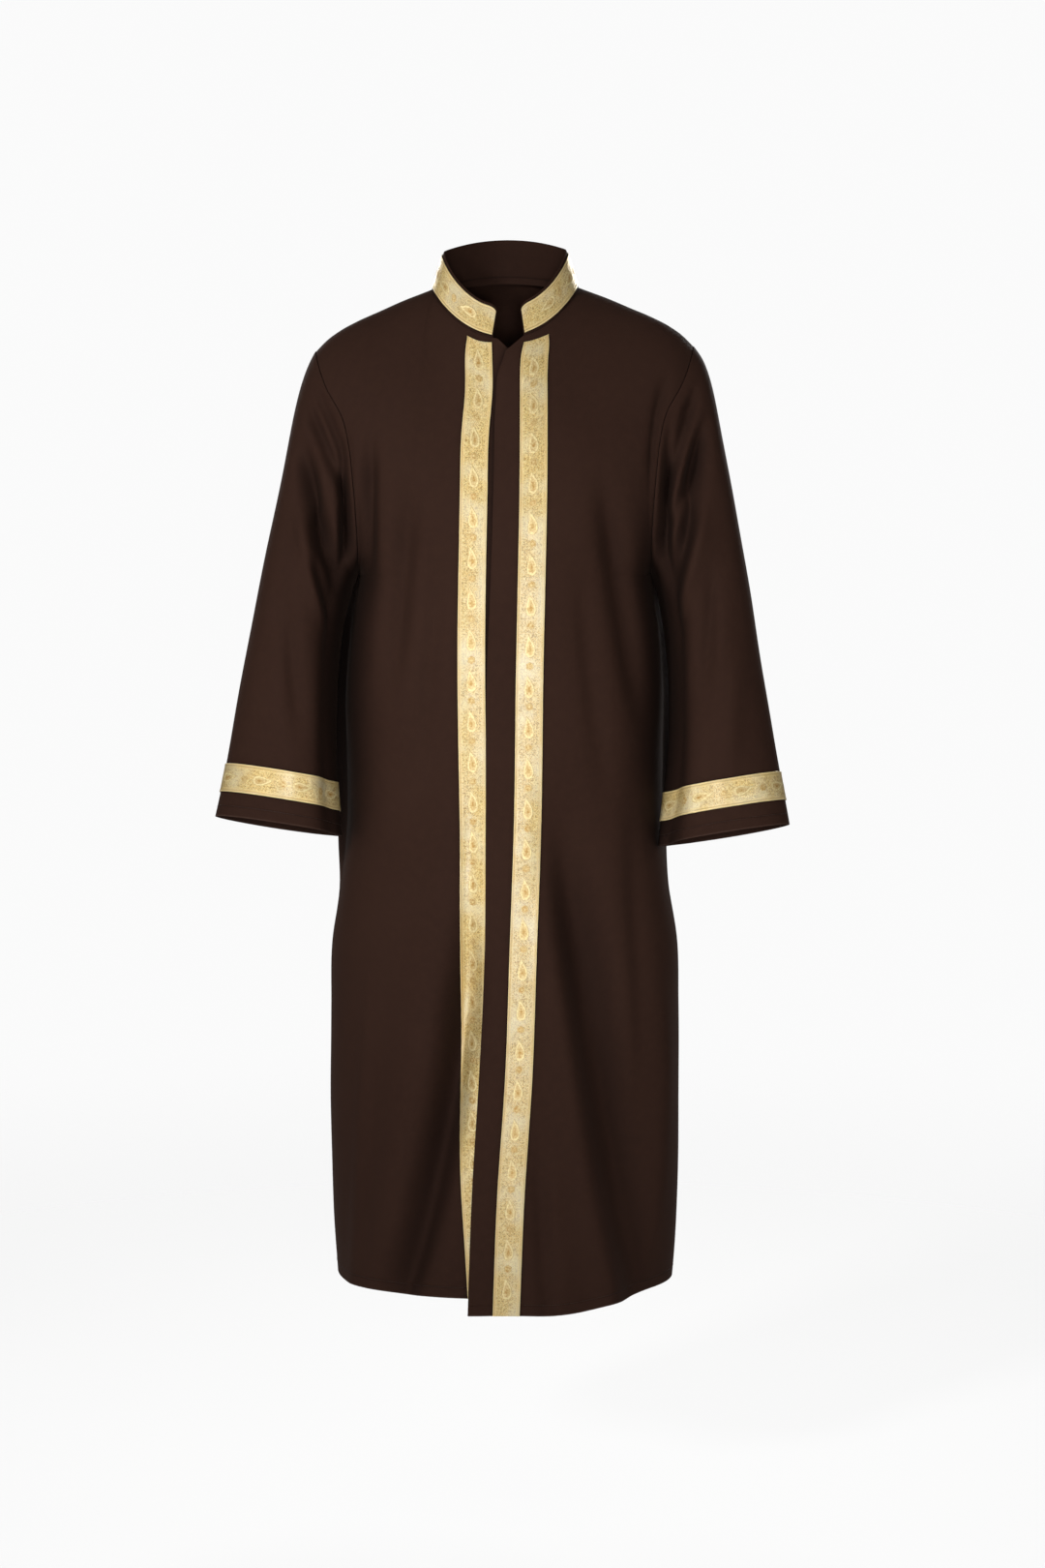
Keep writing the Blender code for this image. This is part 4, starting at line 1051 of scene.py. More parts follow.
# %% Gold brocade
GOLD_GROUND = (0.870, 0.615, 0.215)
GOLD_PALE = (0.980, 0.815, 0.390)
GOLD_DEEP = (0.440, 0.225, 0.036)
GOLD_SELVEDGE = (0.950, 0.740, 0.350)
# painted sheen: a pale colour laid in patches in place of highlights on the gold
GOLD_PAINTED_SHEEN = (1.000, 0.920, 0.640)
GOLD_LINE = (0.540, 0.350, 0.130)
SELVEDGE = 0.0023
# Places are in selvedge widths from the ribbon's edge, half widths in metres.
CURLS_FROM, CURLS_FULL = 1.6, 2.4
STRIPE_AT, STRIPE_HALF = 2.1, 0.0009
LINE_AT, LINE_HALF = 1.15, 0.0007
WEFT_PITCH = 0.00055
SPECK = 0.0011
BROCADE_RELIEF = 0.00016
GOLD_THREADS = Noise(1500.0, 3.0, 0.7)
PAINTED_SHEEN_CLOUDS = Noise(24.0, 2.0, 0.5)
GROUND_CLOUDS = Noise(9.0, 2.0, 0.5)
SCROLLS = (Noise(250.0, 1.0, 0.4), Noise(330.0, 1.0, 0.4))    # the pale curls and the deep ones
SCROLL_WIDTH = 0.060


def line_mask(tree, value, place, half_width):
    """1 on a thin line where a value meets a place, and 0 away from it."""
    away = do_math(tree, "ABSOLUTE", do_math(tree, "SUBTRACT", value, place))
    return soft_step(tree, away, half_width, half_width * 0.5)


def make_brocade(name="gold_brocade"):
    """Woven metallic ribbon: speckled ground, curling lines, bright selvedges and patches of painted
    sheen.
    """
    material, tree, shader = new_material(name)
    flat, across = read_cut(tree)
    off_centre = do_math(tree, "ABSOLUTE", across)
    edge = RIBBON_WIDTH / 2.0
    specks = add_node(tree, "ShaderNodeTexVoronoi", {"feature": "F1"},
                      Vector=flat, Scale=1.0 / SPECK, Randomness=0.85).outputs["Distance"]
    stretched = add_node(tree, "ShaderNodeMapping", Vector=flat, Scale=(1.0, 0.45, 1.0)).outputs[0]
    threads = read_noise(tree, stretched, GOLD_THREADS)
    # Painted sheen: cloudy patches where the gold's colour is made paler, as a highlight would.
    painted_sheen_clouds = read_noise(tree, flat, PAINTED_SHEEN_CLOUDS)
    broad = read_noise(tree, flat, GROUND_CLOUDS)
    weft = add_bands(tree, flat, WEFT_PITCH, 0.8, 1.0)
    inside = soft_step(tree, off_centre, edge - CURLS_FROM * SELVEDGE, edge - CURLS_FULL * SELVEDGE)
    pale_curls, deep_curls = (
        do_math(tree, "MULTIPLY", inside,
                line_mask(tree, read_noise(tree, flat, scroll), 0.5, SCROLL_WIDTH))
        for scroll in SCROLLS)
    stripe = line_mask(tree, off_centre, edge - STRIPE_AT * SELVEDGE, STRIPE_HALF)
    line = line_mask(tree, off_centre, edge - LINE_AT * SELVEDGE, LINE_HALF)
    selvedge = soft_step(tree, off_centre, edge - SELVEDGE, edge - 0.85 * SELVEDGE)

    ground = mix_colours(tree, soft_step(tree, specks, 0.15, 0.70), GOLD_PALE, GOLD_GROUND)
    ground = lay_over(tree, ground, [
        (soft_step(tree, broad, 0.52, 0.30), 0.45, GOLD_GROUND),
        (deep_curls, 0.75, GOLD_DEEP),
        (pale_curls, 0.80, GOLD_PALE),
        (soft_step(tree, threads, 0.54, 0.66), 0.68, GOLD_DEEP),
        (soft_step(tree, painted_sheen_clouds, 0.42, 0.70), 0.55, GOLD_PAINTED_SHEEN),
        (weft, 0.18, GOLD_DEEP),
        (stripe, 0.50, GOLD_SELVEDGE),
        (line, 0.40, GOLD_LINE),
        (selvedge, 0.85, GOLD_SELVEDGE),
    ])
    relief = do_math(tree, "MULTIPLY_ADD", threads, 0.8, do_math(tree, "MULTIPLY", weft, 0.5))
    relief = do_math(tree, "MULTIPLY_ADD", pale_curls, 0.9, relief)
    relief = do_math(tree, "SUBTRACT", relief, do_math(tree, "MULTIPLY", line, 0.8))
    feed(shader, Base_Color=ground, Roughness=do_math(tree, "MULTIPLY_ADD", threads, 0.25, 0.30),
         Metallic=0.45, Coat_Weight=0.70, Coat_Roughness=0.33,
         **lay_bumps(tree, (relief, BROCADE_RELIEF)))
    return material


brocade = make_brocade()
print(brocade.name, "has", len(brocade.node_tree.nodes), "nodes")

# %% Figure thread and sewing thread
FIGURE_DEEP = (0.520, 0.275, 0.052)
FIGURE_RIM = (0.970, 0.830, 0.450)
THREAD_RELIEF = 0.0001
TUFTS = Noise(480.0, 2.0, 0.6)
TWIST = Noise(1800.0, 2.0, 0.5)


def make_figure_thread(name="figure_thread"):
    """The raised threads of the woven figures: bright rims and deep outlines."""
    material, tree, shader = new_material(name)
    band = add_node(tree, "ShaderNodeAttribute", {"attribute_name": FIGURE_BAND}).outputs["Fac"]
    place = add_node(tree, "ShaderNodeTexCoord").outputs["Object"]
    threads = read_noise(tree, place, GOLD_THREADS)
    tufts = read_noise(tree, place, TUFTS)
    woven = do_math(tree, "MULTIPLY_ADD", do_math(tree, "SUBTRACT", threads, 0.5), 1.0, band)
    woven = do_math(tree, "MULTIPLY_ADD", do_math(tree, "SUBTRACT", tufts, 0.5), 1.6, woven)
    feed(shader, Base_Color=mix_colours(tree, woven, FIGURE_DEEP, FIGURE_RIM),
         Roughness=do_math(tree, "MULTIPLY_ADD", threads, 0.2, 0.45), Metallic=0.40,
         **lay_bumps(tree, (threads, THREAD_RELIEF)))
    return material


def make_thread(name, light, dark, metallic):
    """Twisted sewing thread."""
    material, tree, shader = new_material(name)
    place = add_node(tree, "ShaderNodeTexCoord").outputs["Object"]
    twist = read_noise(tree, place, TWIST)
    feed(shader, Base_Color=mix_colours(tree, twist, dark, light), Roughness=0.55,
         Metallic=metallic, **lay_bumps(tree, (twist, THREAD_RELIEF)))
    return material


figure_thread = make_figure_thread()
dark_thread = make_thread("dark_thread", (0.075, 0.042, 0.030), (0.030, 0.015, 0.010), 0.0)
gold_thread = make_thread("gold_thread", (0.900, 0.740, 0.430), (0.560, 0.390, 0.150), 0.25)
print("threads:", [thread.name for thread in (figure_thread, dark_thread, gold_thread)])

# %% [markdown]
# ## From a grid to a sewn piece
#
# A grid becomes a mesh of four-sided faces that point outwards, with its flat cut as a UV map:
# metres along each row, and metres from the hem. Solidify gives it the cloth's thickness
# inwards, Bevel rounds its cut edges so that two pieces that meet leave a soft seam line, and
# Weighted Normal keeps those small edge faces from bending the shading of the cloth.

# %% Cloth pieces
EDGE_ROUNDING = 0.00045
EDGE_ANGLE = math.radians(50.0)


def lay_flat(points, hem_row=0, from_column=0, from_hem=0.0, ring=False):
    """Each point's place in the flat cut: metres along its row and metres from the hem."""
    if ring:
        points = close_ring(points)
    across, along = walk_along(points, 1), walk_along(points, 0)
    return np.stack([across - across[:, from_column, None],
                     np.abs(along - along[hem_row]) + from_hem], axis=2)


def grid_object(name, points, flat, material, ring=False):
    """A grid as a mesh whose faces point out, with its flat cut as a UV map."""
    rows, columns = points.shape[:2]
    index = np.arange(rows * columns).reshape(rows, columns, 1)
    index = (close_ring(index) if ring else index)[:, :, 0]
    low, high = slice(None, -1), slice(1, None)
    corners = ((low, low), (high, low), (high, high), (low, high))
    faces = np.stack([index[corner] for corner in corners], axis=2).reshape(-1, 4)
    places = np.stack([flat[corner] for corner in corners], axis=2).reshape(-1)
    mesh = bpy.data.meshes.new(name)
    mesh.from_pydata(points.reshape(-1, 3).tolist(), [], faces.tolist())
    mesh.uv_layers.new(name=CUT_MAP).data.foreach_set("uv", places.astype(np.float32))
    mesh.shade_smooth()
    mesh.materials.append(material)
    return show(name, mesh)


def thicken(piece, wall, rounding):
    """Give an open sheet its thickness inwards and round its cut edges."""
    shell = piece.modifiers.new("wall", "SOLIDIFY")
    shell.thickness = wall
    shell.offset = -1.0
    edges = piece.modifiers.new("rounded_edges", "BEVEL")
    edges.width = rounding
    edges.segments = 2
    edges.limit_method = "ANGLE"
    edges.angle_limit = EDGE_ANGLE
    piece.modifiers.new("even_shading", "WEIGHTED_NORMAL")
    return piece


def sew_cloth(name, points, **cut):
    """One finished piece of robe cloth."""
    piece = grid_object(name, points, lay_flat(points, **cut), twill, cut.get("ring", False))
    return thicken(piece, WALL, EDGE_ROUNDING)


cloth = {
    "back": sew_cloth("robe_back", back, from_column=back.shape[1] // 2),
    "front_left": sew_cloth("robe_front_left", front_left, from_column=-1),
    "front_right": sew_cloth("robe_front_right", front_right),
    **{place: sew_cloth("robe_" + place, points, hem_row=-1, ring=True,
                        from_column=points.shape[1] // 2)
       for place, points in (("sleeve_left", sleeve_left), ("sleeve_right", sleeve_right))},
    "collar": sew_cloth("stand_collar", collar, from_column=collar.shape[1] // 2, from_hem=1.0),
}
print("cloth:", {name: len(piece.data.polygons) for name, piece in cloth.items()})

# %% [markdown]
# ## The gold ribbons
#
# One woven ribbon, 35 mm wide, goes up both fronts, round the collar and round both cuffs. Its
# long runs up the fronts are drawn in a little by their sewing, and end in a slant.
# Its selvedges are a little thicker than its ground, so its cross-section is a short table, read
# across the strip of cloth that it covers. Sewing draws its edges in by a hair between the
# stitches, and a very small ripple along them shows it.

# %% A ribbon's cross-section
RIBBON_WALL = 0.0009
RIBBON_ROUNDING = 0.00022
RIBBON_FINER = 3                # ribbon rows to one row of the cloth
TAPER_ROWS = 14                 # rows over which a front ribbon's top is shaped
SPARE_ROWS = 4                  # and rows of cloth above it
PUCKER = 0.00012                # depth of the ripple along the selvedges
PUCKER_PITCH = 0.019
Profile = namedtuple("Profile", "share rise")
HALF_PROFILE = [
    Profile(0.000, 0.00006),
    Profile(0.012, 0.00024),
    Profile(0.036, 0.00030),
    Profile(0.058, 0.00022),
    Profile(0.072, 0.00000),
    Profile(0.088, 0.00000),
    Profile(0.110, 0.00010),
    Profile(0.140, 0.00004),
    Profile(0.220, 0.00004),
    Profile(0.320, 0.00004),
    Profile(0.420, 0.00004),
]
RIBBON_PROFILE = [*HALF_PROFILE, Profile(0.5, 0.00004),
                  *(Profile(1.0 - row.share, row.rise) for row in HALF_PROFILE[::-1])]
print("cross-section:", len(RIBBON_PROFILE), "points over", RIBBON_WIDTH, "m")

# %% The strips of cloth under the ribbons
Strip = namedtuple("Strip", "points normals ring across width")


def read_each(grid, places):
    """A grid read at fractional columns that differ from row to row."""
    index = np.clip(np.floor(places).astype(int), 0, grid.shape[1] - 2)[:, :, None]
    part = places[:, :, None] - index
    ends = [np.take_along_axis(values, index + step, 1)
            for values in (grid, soft_slopes(grid, 1)) for step in (0, 1)]
    return bend_between(*ends, part)


def narrow(grid, low, high):
    """A grid between two shares of its width, each given row by row."""
    count = grid.shape[1]
    share = np.linspace(0.0, 1.0, count)
    return read_each(grid, (low[:, None] + (high - low)[:, None] * share) * (count - 1))


def slant(grid, near_top, rises):
    """A grid whose top edge is moved up by a number of rows at its two ends."""
    ups = np.linspace(rises[0], rises[1], grid.shape[1])
    places = np.arange(len(near_top)) + ups[:, None] * near_top
    return read_each(grid.swapaxes(0, 1), places).swapaxes(0, 1)


def strip_of(points, rows, columns, across, ring=False, width=RIBBON_WIDTH,
             top_taper=(0.0, 0.0), top_rise=(0.0, 0.0)):
    """The cloth under a ribbon of a given width.

    `across` is the grid's axis that runs across the ribbon. A front ribbon narrows by two
    shares at its top, and its top edge rises by two heights in metres.
    """
    grids = [points, grid_normals(points, ring)]
    if ring:
        grids = [close_ring(grid) for grid in grids]
    grids = [grid[rows, columns] for grid in grids]
    if across == 1:
        points = grids[0]
        spacing = np.linalg.norm(points[-SPARE_ROWS] - points[-SPARE_ROWS - 1], axis=1).mean()
        near_top = smooth(1.0 - np.arange(len(points) - SPARE_ROWS)[::-1] / TAPER_ROWS)
        spare = (1.0 - width / RIBBON_WIDTH) / 2.0
        low, high = spare + top_taper[0] * near_top, 1.0 - spare - top_taper[1] * near_top
        grids = [narrow(slant(grid, near_top, np.array(top_rise) / spacing), low, high)
                 for grid in grids]
    return Strip(*grids, ring, across, width)


cuff_rows = slice(-EDGE_ROWS - RIBBON_COLUMNS - 1, -EDGE_ROWS)
collar_ribbon = slice(len(ALLOWANCE) + FINER, -FINER)
FRONT_RIBBON_WIDTH = 0.0325     # sewing draws the long front ribbons in a little
front_rows = slice(0, RIBBON_TOP_ROW + 1 + SPARE_ROWS)
strips = {
    "front_left": strip_of(front_left, front_rows,
                           slice(MAIN_COLUMNS - 1, MAIN_COLUMNS + RIBBON_COLUMNS), across=1,
                           width=FRONT_RIBBON_WIDTH, top_taper=(0.13, 0.0),
                           top_rise=(-0.0010, -0.0062)),
    "front_right": strip_of(front_right, front_rows,
                            slice(MARGIN_COLUMNS, MARGIN_COLUMNS + RIBBON_COLUMNS + 1), across=1,
                            width=FRONT_RIBBON_WIDTH, top_taper=(0.0, 0.10),
                            top_rise=(-0.0028, 0.0044)),
    "collar": strip_of(collar, collar_ribbon, slice(2, -2), across=0),
    "cuff_left": strip_of(sleeve_left, cuff_rows, slice(None), across=0, ring=True),
    "cuff_right": strip_of(sleeve_right, cuff_rows, slice(None), across=0, ring=True),
}
print("strips:", {place: strip.points.shape[:2] for place, strip in strips.items()}, "points")

# %% Weaving the ribbons
def read_strip(strip, shares, steps, rise):
    """Points over a strip at shares of its width, `steps` to one row along, `rise` above it."""
    along = 1 - strip.across
    length = strip.points.shape[along] - 1
    places = {strip.across: np.asarray(shares) * (strip.points.shape[strip.across] - 1),
              along: np.linspace(0.0, length, length * steps + 1)}
    points, normals = strip.points, strip.normals
    for axis, values in places.items():
        points, normals = read_between(points, values, axis), read_between(normals, values, axis)
    normals = normals / np.linalg.norm(normals, axis=2, keepdims=True)
    return points + normals * (SEAM_GAP + RIBBON_WALL + rise)[..., None], normals


def ribbon_grid(strip):
    """A ribbon's points and its flat cut: metres along it, and across it from its middle."""
    shares = np.array([row.share for row in RIBBON_PROFILE])
    rises = np.array([row.rise for row in RIBBON_PROFILE])
    middle, _ = read_strip(strip, [0.5], RIBBON_FINER, np.zeros((1, 1)))
    metres = walk_along(middle.reshape(-1, 3))
    waves = metres * (2.0 * np.pi / PUCKER_PITCH)
    if strip.ring:
        waves *= round(waves[-1] / (2.0 * np.pi)) * 2.0 * np.pi / waves[-1]
    pull = PUCKER * np.sin(waves)[:, None] * (2.0 * np.abs(shares - 0.5)[None, :]) ** 2
    across = (shares - 0.5) * strip.width
    rise, u, v = rises[None, :] + pull, metres[:, None] + 0.0 * shares, across + 0.0 * metres[:, None]
    if strip.across == 0:
        rise, u, v = rise.T, u.T, -v.T
    points, _ = read_strip(strip, shares, RIBBON_FINER, rise)
    return points, np.stack([u, v], axis=2), metres[-1]


def weave_ribbon(name, strip):
    """A ribbon's open sheet and its length in metres."""
    points, flat, length = ribbon_grid(strip)
    if strip.ring:
        points = points[:, :-1]
    return grid_object(name, points, flat, brocade, strip.ring), length


ribbons, ribbon_lengths = {}, {}
for place, strip in strips.items():
    ribbons[place], ribbon_lengths[place] = weave_ribbon("ribbon_" + place, strip)
print("ribbon lengths in metres:", {name: round(length, 3) for name, length in ribbon_lengths.items()})

# %% [markdown]
# ## Woven figures
#
# Paisley ribbon repeats a boteh, the bent drop of old Persian and Kashmir weaving, with a small
# rosette between each two. Each is one flat relief of one or two hundred faces: rings of points
# from its outline inwards, each ring with its own height and its own colour band. Geometry Nodes
# lays a row of them along the flat cut and then looks up where the ribbon's surface carries
# each point, with Sample UV Surface, so the figures bend with the ribbon as its threads do.

# %% The two figures
Ring = namedtuple("Ring", "size height band")
BOTEH_RINGS = [
    Ring(1.08, -0.00025, 0.45),
    Ring(1.00, 0.00008, 0.38),
    Ring(0.93, 0.00016, 0.78),
    Ring(0.82, 0.00018, 0.90),
    Ring(0.68, 0.00016, 0.72),
    Ring(0.58, 0.00008, 0.40),
    Ring(0.46, 0.00010, 0.52),
    Ring(0.30, 0.00012, 0.36),
    Ring(0.14, 0.00006, 0.10),
]
ROSETTE_RINGS = [
    Ring(1.06, -0.00025, 0.50),
    Ring(0.92, 0.00010, 0.34),
    Ring(0.72, 0.00014, 0.50),
    Ring(0.52, 0.00005, 0.12),
    Ring(0.30, 0.00012, 0.46),
]
BOTEH_LENGTH = 0.0275
BOTEH_WIDTH = 0.0130
BOTEH_BEND = 0.0030             # sideways at the tip
BOTEH_BENT_FROM = -0.2          # and from this share of half its length on
BOTEH_TAPER = 1.4               # power that thins the drop towards its tip
BOTEH_FULLNESS = 1.30           # makes up for the width that the taper takes
BOTEH_BELLY = -0.30             # the rings shrink towards this share of half its length
ROSETTE_RADIUS = 0.0048
PETALS = 6
PETAL_DEPTH = 0.12


def boteh_outline(points=22):
    """A drop that lies along X with its tip at +X, bent to one side."""
    turn = 2.0 * np.pi * np.arange(points) / points
    along = np.cos(turn)
    across = np.sin(turn) * np.sin(turn / 2.0) ** BOTEH_TAPER * BOTEH_FULLNESS
    bent = (along - BOTEH_BENT_FROM) / (1.0 - BOTEH_BENT_FROM)
    bend = BOTEH_BEND * np.clip(bent, 0.0, 1.0) ** 2
    return np.stack([along * BOTEH_LENGTH / 2.0, across * BOTEH_WIDTH / 2.0 + bend], axis=1)


def rosette_outline(points=20):
    """A small flower of round petals."""
    turn = 2.0 * np.pi * np.arange(points) / points
    radius = ROSETTE_RADIUS * (1.0 + PETAL_DEPTH * np.cos(PETALS * turn))
    return np.stack([radius * np.cos(turn), radius * np.sin(turn)], axis=1)


def hidden_object(name, points, faces):
    """A smooth mesh as an object that isn't put in the scene."""
    mesh = bpy.data.meshes.new(name)
    mesh.from_pydata(points, [], faces)
    mesh.shade_smooth()
    return bpy.data.objects.new(name, mesh)


def join_rings(rings, count):
    """Four-sided faces between rings of `count` points that follow each other."""
    return [(ring + step, ring + (step + 1) % count,
             ring + count + (step + 1) % count, ring + count + step)
            for ring in range(0, (rings - 1) * count, count) for step in range(count)]


def relief_object(name, outline, rings, middle):
    """A flat relief: rings of one outline that shrink towards its middle."""
    middle = np.array(middle)
    count = len(outline)
    points = [(x, y, ring.height) for ring in rings
              for x, y in middle + (outline - middle) * ring.size]
    last = len(points) - count
    points.append((*middle, rings[-1].height))
    faces = join_rings(len(rings), count)
    faces += [(last + step, last + (step + 1) % count, last + count) for step in range(count)]
    relief = hidden_object(name, points, faces)
    bands = [ring.band for ring in rings for _ in outline] + [rings[-1].band]
    relief.data.attributes.new(FIGURE_BAND, "FLOAT", "POINT").data.foreach_set("value", bands)
    return relief


boteh = relief_object("boteh_pattern", boteh_outline(), BOTEH_RINGS,
                      (BOTEH_BELLY * BOTEH_LENGTH / 2.0, 0.0))
rosette = relief_object("rosette_pattern", rosette_outline(), ROSETTE_RINGS, (0.0, 0.0))
print("faces of a boteh:", len(boteh.data.polygons), "and of a rosette:", len(rosette.data.polygons))

# %% The tree that lays figures along a ribbon
def new_tree(name, inputs):
    """An empty Geometry Nodes tree with named inputs, those inputs, and its output node."""
    tree = bpy.data.node_groups.new(name, "GeometryNodeTree")
    tree.interface.new_socket("Geometry", in_out="INPUT", socket_type="NodeSocketGeometry")
    for label, kind in inputs:
        tree.interface.new_socket(label, in_out="INPUT", socket_type="NodeSocket" + kind)
    tree.interface.new_socket("Geometry", in_out="OUTPUT", socket_type="NodeSocketGeometry")
    return tree, tree.nodes.new("NodeGroupInput").outputs, tree.nodes.new("NodeGroupOutput")


def lay_objects(tree, laid, points, **turns):
    """An object laid on each point, as one plain mesh."""
    shape = add_node(tree, "GeometryNodeObjectInfo", Object=laid).outputs["Geometry"]
    row = add_node(tree, "GeometryNodeInstanceOnPoints", Points=points, Instance=shape, **turns)
    return add_node(tree, "GeometryNodeRealizeInstances", Geometry=row.outputs[0]).outputs[0]


def end_tree(tree, given, result, geometry):
    """Give a tree's geometry the finish and send it out."""
    painted = add_node(tree, "GeometryNodeSetMaterial", Geometry=geometry,
                       Material=given["Material"])
    feed(result, _0=painted.outputs[0])
    return tree


def figure_tree():
    """Figures in a row along a flat cut, each point then carried by the surface."""
    tree, given, result = new_tree("figures_along_ribbon", [
        ("Figure", "Object"), ("Count", "Int"), ("First", "Float"), ("Pitch", "Float"),
        ("Material", "Material")])
    start, step = (add_node(tree, "ShaderNodeCombineXYZ", X=given[label]).outputs[0]
                   for label in ("First", "Pitch"))
    line = add_node(tree, "GeometryNodeMeshLine", {"mode": "OFFSET"}, Count=given["Count"],
                    Start_Location=start, Offset=step)
    flat = lay_objects(tree, given["Figure"], line.outputs[0])

    place = add_node(tree, "GeometryNodeInputPosition").outputs[0]
    parts = add_node(tree, "ShaderNodeSeparateXYZ", Vector=place).outputs
    at = add_node(tree, "ShaderNodeCombineXYZ", X=parts[0], Y=parts[1]).outputs[0]
    flat_cut = add_node(tree, "GeometryNodeInputNamedAttribute", {"data_type": "FLOAT_VECTOR"},
                        Name=CUT_MAP).outputs[0]
    carried, outward = (
        add_node(tree, "GeometryNodeSampleUVSurface", {"data_type": "FLOAT_VECTOR"},
                 Mesh=given["Geometry"], Value=add_node(tree, kind).outputs[0],
                 Source_UV_Map=flat_cut, Sample_UV=at).outputs["Value"]
        for kind in ("GeometryNodeInputPosition", "GeometryNodeInputNormal"))
    rise = add_node(tree, "ShaderNodeVectorMath", {"operation": "SCALE"},
                    _0=outward, Scale=parts[2]).outputs[0]
    surface = add_node(tree, "ShaderNodeVectorMath", {"operation": "ADD"}, _0=carried, _1=rise)
    moved = add_node(tree, "GeometryNodeSetPosition", Geometry=flat, Position=surface.outputs[0])
    return end_tree(tree, given, result, moved.outputs[0])


def run_tree(tree, carrier, **values):
    """Run a tree on a carrier object and give its result as a plain mesh."""
    modifier = carrier.modifiers.new(tree.name, "NODES")
    modifier.node_group = tree
    for socket in tree.interface.items_tree:
        if socket.in_out == "INPUT" and socket.name in values:
            modifier[socket.identifier] = values[socket.name]
    carrier.update_tag()
    bpy.context.view_layer.update()
    evaluated = carrier.evaluated_get(bpy.context.evaluated_depsgraph_get())
    mesh = bpy.data.meshes.new_from_object(evaluated)
    carrier.modifiers.remove(modifier)
    return mesh


figures_along_ribbon = figure_tree()
print("tree:", figures_along_ribbon.name, "with", len(figures_along_ribbon.nodes), "nodes")

# %% Figures on each ribbon
FIGURE_PITCH = 0.0480
END_MARGIN = 0.020


def join_meshes(name, meshes):
    """Several meshes as one object."""
    pieces = [show(name + "_part", mesh) for mesh in meshes]
    with bpy.context.temp_override(active_object=pieces[0], object=pieces[0],
                                   selected_editable_objects=pieces, selected_objects=pieces):
        bpy.ops.object.join()
    pieces[0].name = name
    pieces[0].data.name = name
    return pieces[0]


def lay_figures(place):
    """Botehs and rosettes along one ribbon, as one raised mesh."""
    length = ribbon_lengths[place]
    if strips[place].ring:
        count = round(length / FIGURE_PITCH)
        pitch = length / count
        first = pitch / 2.0
    else:
        count = int((length - 2.0 * END_MARGIN) / FIGURE_PITCH) + 1
        pitch = FIGURE_PITCH
        first = (length - (count - 1) * pitch) / 2.0
    meshes = [run_tree(figures_along_ribbon, ribbons[place], Figure=figure, Count=number,
                       First=start, Pitch=pitch, Material=figure_thread)
              for figure, number, start in ((boteh, count, first),
                                            (rosette, count - 1, first + pitch / 2.0))]
    return join_meshes("figures_" + place, meshes)


figures = {place: lay_figures(place) for place in strips}
for ribbon in ribbons.values():
    thicken(ribbon, RIBBON_WALL, RIBBON_ROUNDING)
for pattern in (boteh, rosette):
    bpy.data.objects.remove(pattern)
print("figure faces:", {place: len(piece.data.polygons) for place, piece in figures.items()})

# %% [markdown]
# ## Stitches
#
# The hem and the cuffs are turned up and sewn, and every ribbon is sewn down along both
# selvedges. A stitch is one small rounded bar of thread that sinks into the cloth at both ends.
# Geometry Nodes turns each sewing line into a curve, steps along it at the stitch's pitch,
# turns each stitch along the line and upright on the cloth, and tilts it by a degree or two
# with a fixed seed, because no two stitches lie quite the same.

# %% One stitch and its tree
STITCH_SIDES = 5
STITCH_SEED = 11
StitchRing = namedtuple("StitchRing", "along radius rise")
STITCH_RINGS = [
    StitchRing(-0.46, 0.35, -0.9),
    StitchRing(-0.36, 0.90, -0.1),
    StitchRing(0.00, 1.00, 0.25),
    StitchRing(0.36, 0.90, -0.1),
    StitchRing(0.46, 0.35, -0.9),
]


def stitch_object(name, length, radius):
    """A small bar of thread along X that dips at both ends."""
    turn = 2.0 * np.pi * np.arange(STITCH_SIDES) / STITCH_SIDES
    points = [(ring.along * length, radius * ring.radius * math.cos(t),
               radius * (ring.radius * math.sin(t) + ring.rise))
              for ring in STITCH_RINGS for t in turn]
    faces = join_rings(len(STITCH_RINGS), STITCH_SIDES)
    last = len(points) - STITCH_SIDES
    faces += [tuple(range(STITCH_SIDES))[::-1], tuple(range(last, last + STITCH_SIDES))]
    return hidden_object(name, points, faces)


def stitch_tree():
    """Stitches at an even pitch along lines, each upright on the cloth."""
    tree, given, result = new_tree("stitches_along_lines", [
        ("Stitch", "Object"), ("Pitch", "Float"), ("Tilt", "Float"), ("Material", "Material")])
    lines = add_node(tree, "GeometryNodeMeshToCurve", Mesh=given["Geometry"]).outputs[0]
    even = add_node(tree, "GeometryNodeResampleCurve", {"mode": "LENGTH"}, Curve=lines,
                    Length=given["Pitch"]).outputs[0]
    tangent = add_node(tree, "GeometryNodeInputTangent").outputs[0]
    outward = add_node(tree, "GeometryNodeInputNamedAttribute", {"data_type": "FLOAT_VECTOR"},
                       Name="outward").outputs[0]
    along = add_node(tree, "FunctionNodeAlignRotationToVector", {"axis": "X"}, Vector=tangent)
    upright = add_node(tree, "FunctionNodeAlignRotationToVector", {"axis": "Z", "pivot_axis": "X"},
                       Rotation=along.outputs[0], Vector=outward)
    back_tilt = do_math(tree, "MULTIPLY", given["Tilt"], -1.0)
    wobble = add_node(tree, "FunctionNodeRandomValue", {"data_type": "FLOAT"},
                      _2=back_tilt, _3=given["Tilt"], Seed=STITCH_SEED).outputs[1]
    turned = add_node(tree, "ShaderNodeCombineXYZ", Z=wobble).outputs[0]
    turn = add_node(tree, "FunctionNodeEulerToRotation", Euler=turned).outputs[0]
    spun = add_node(tree, "FunctionNodeRotateRotation", {"rotation_space": "LOCAL"},
                    _0=upright.outputs[0], _1=turn).outputs[0]
    row = lay_objects(tree, given["Stitch"], even, Rotation=spun)
    return end_tree(tree, given, result, row)


stitches_along_lines = stitch_tree()
print("tree:", stitches_along_lines.name, "with", len(stitches_along_lines.nodes), "nodes")

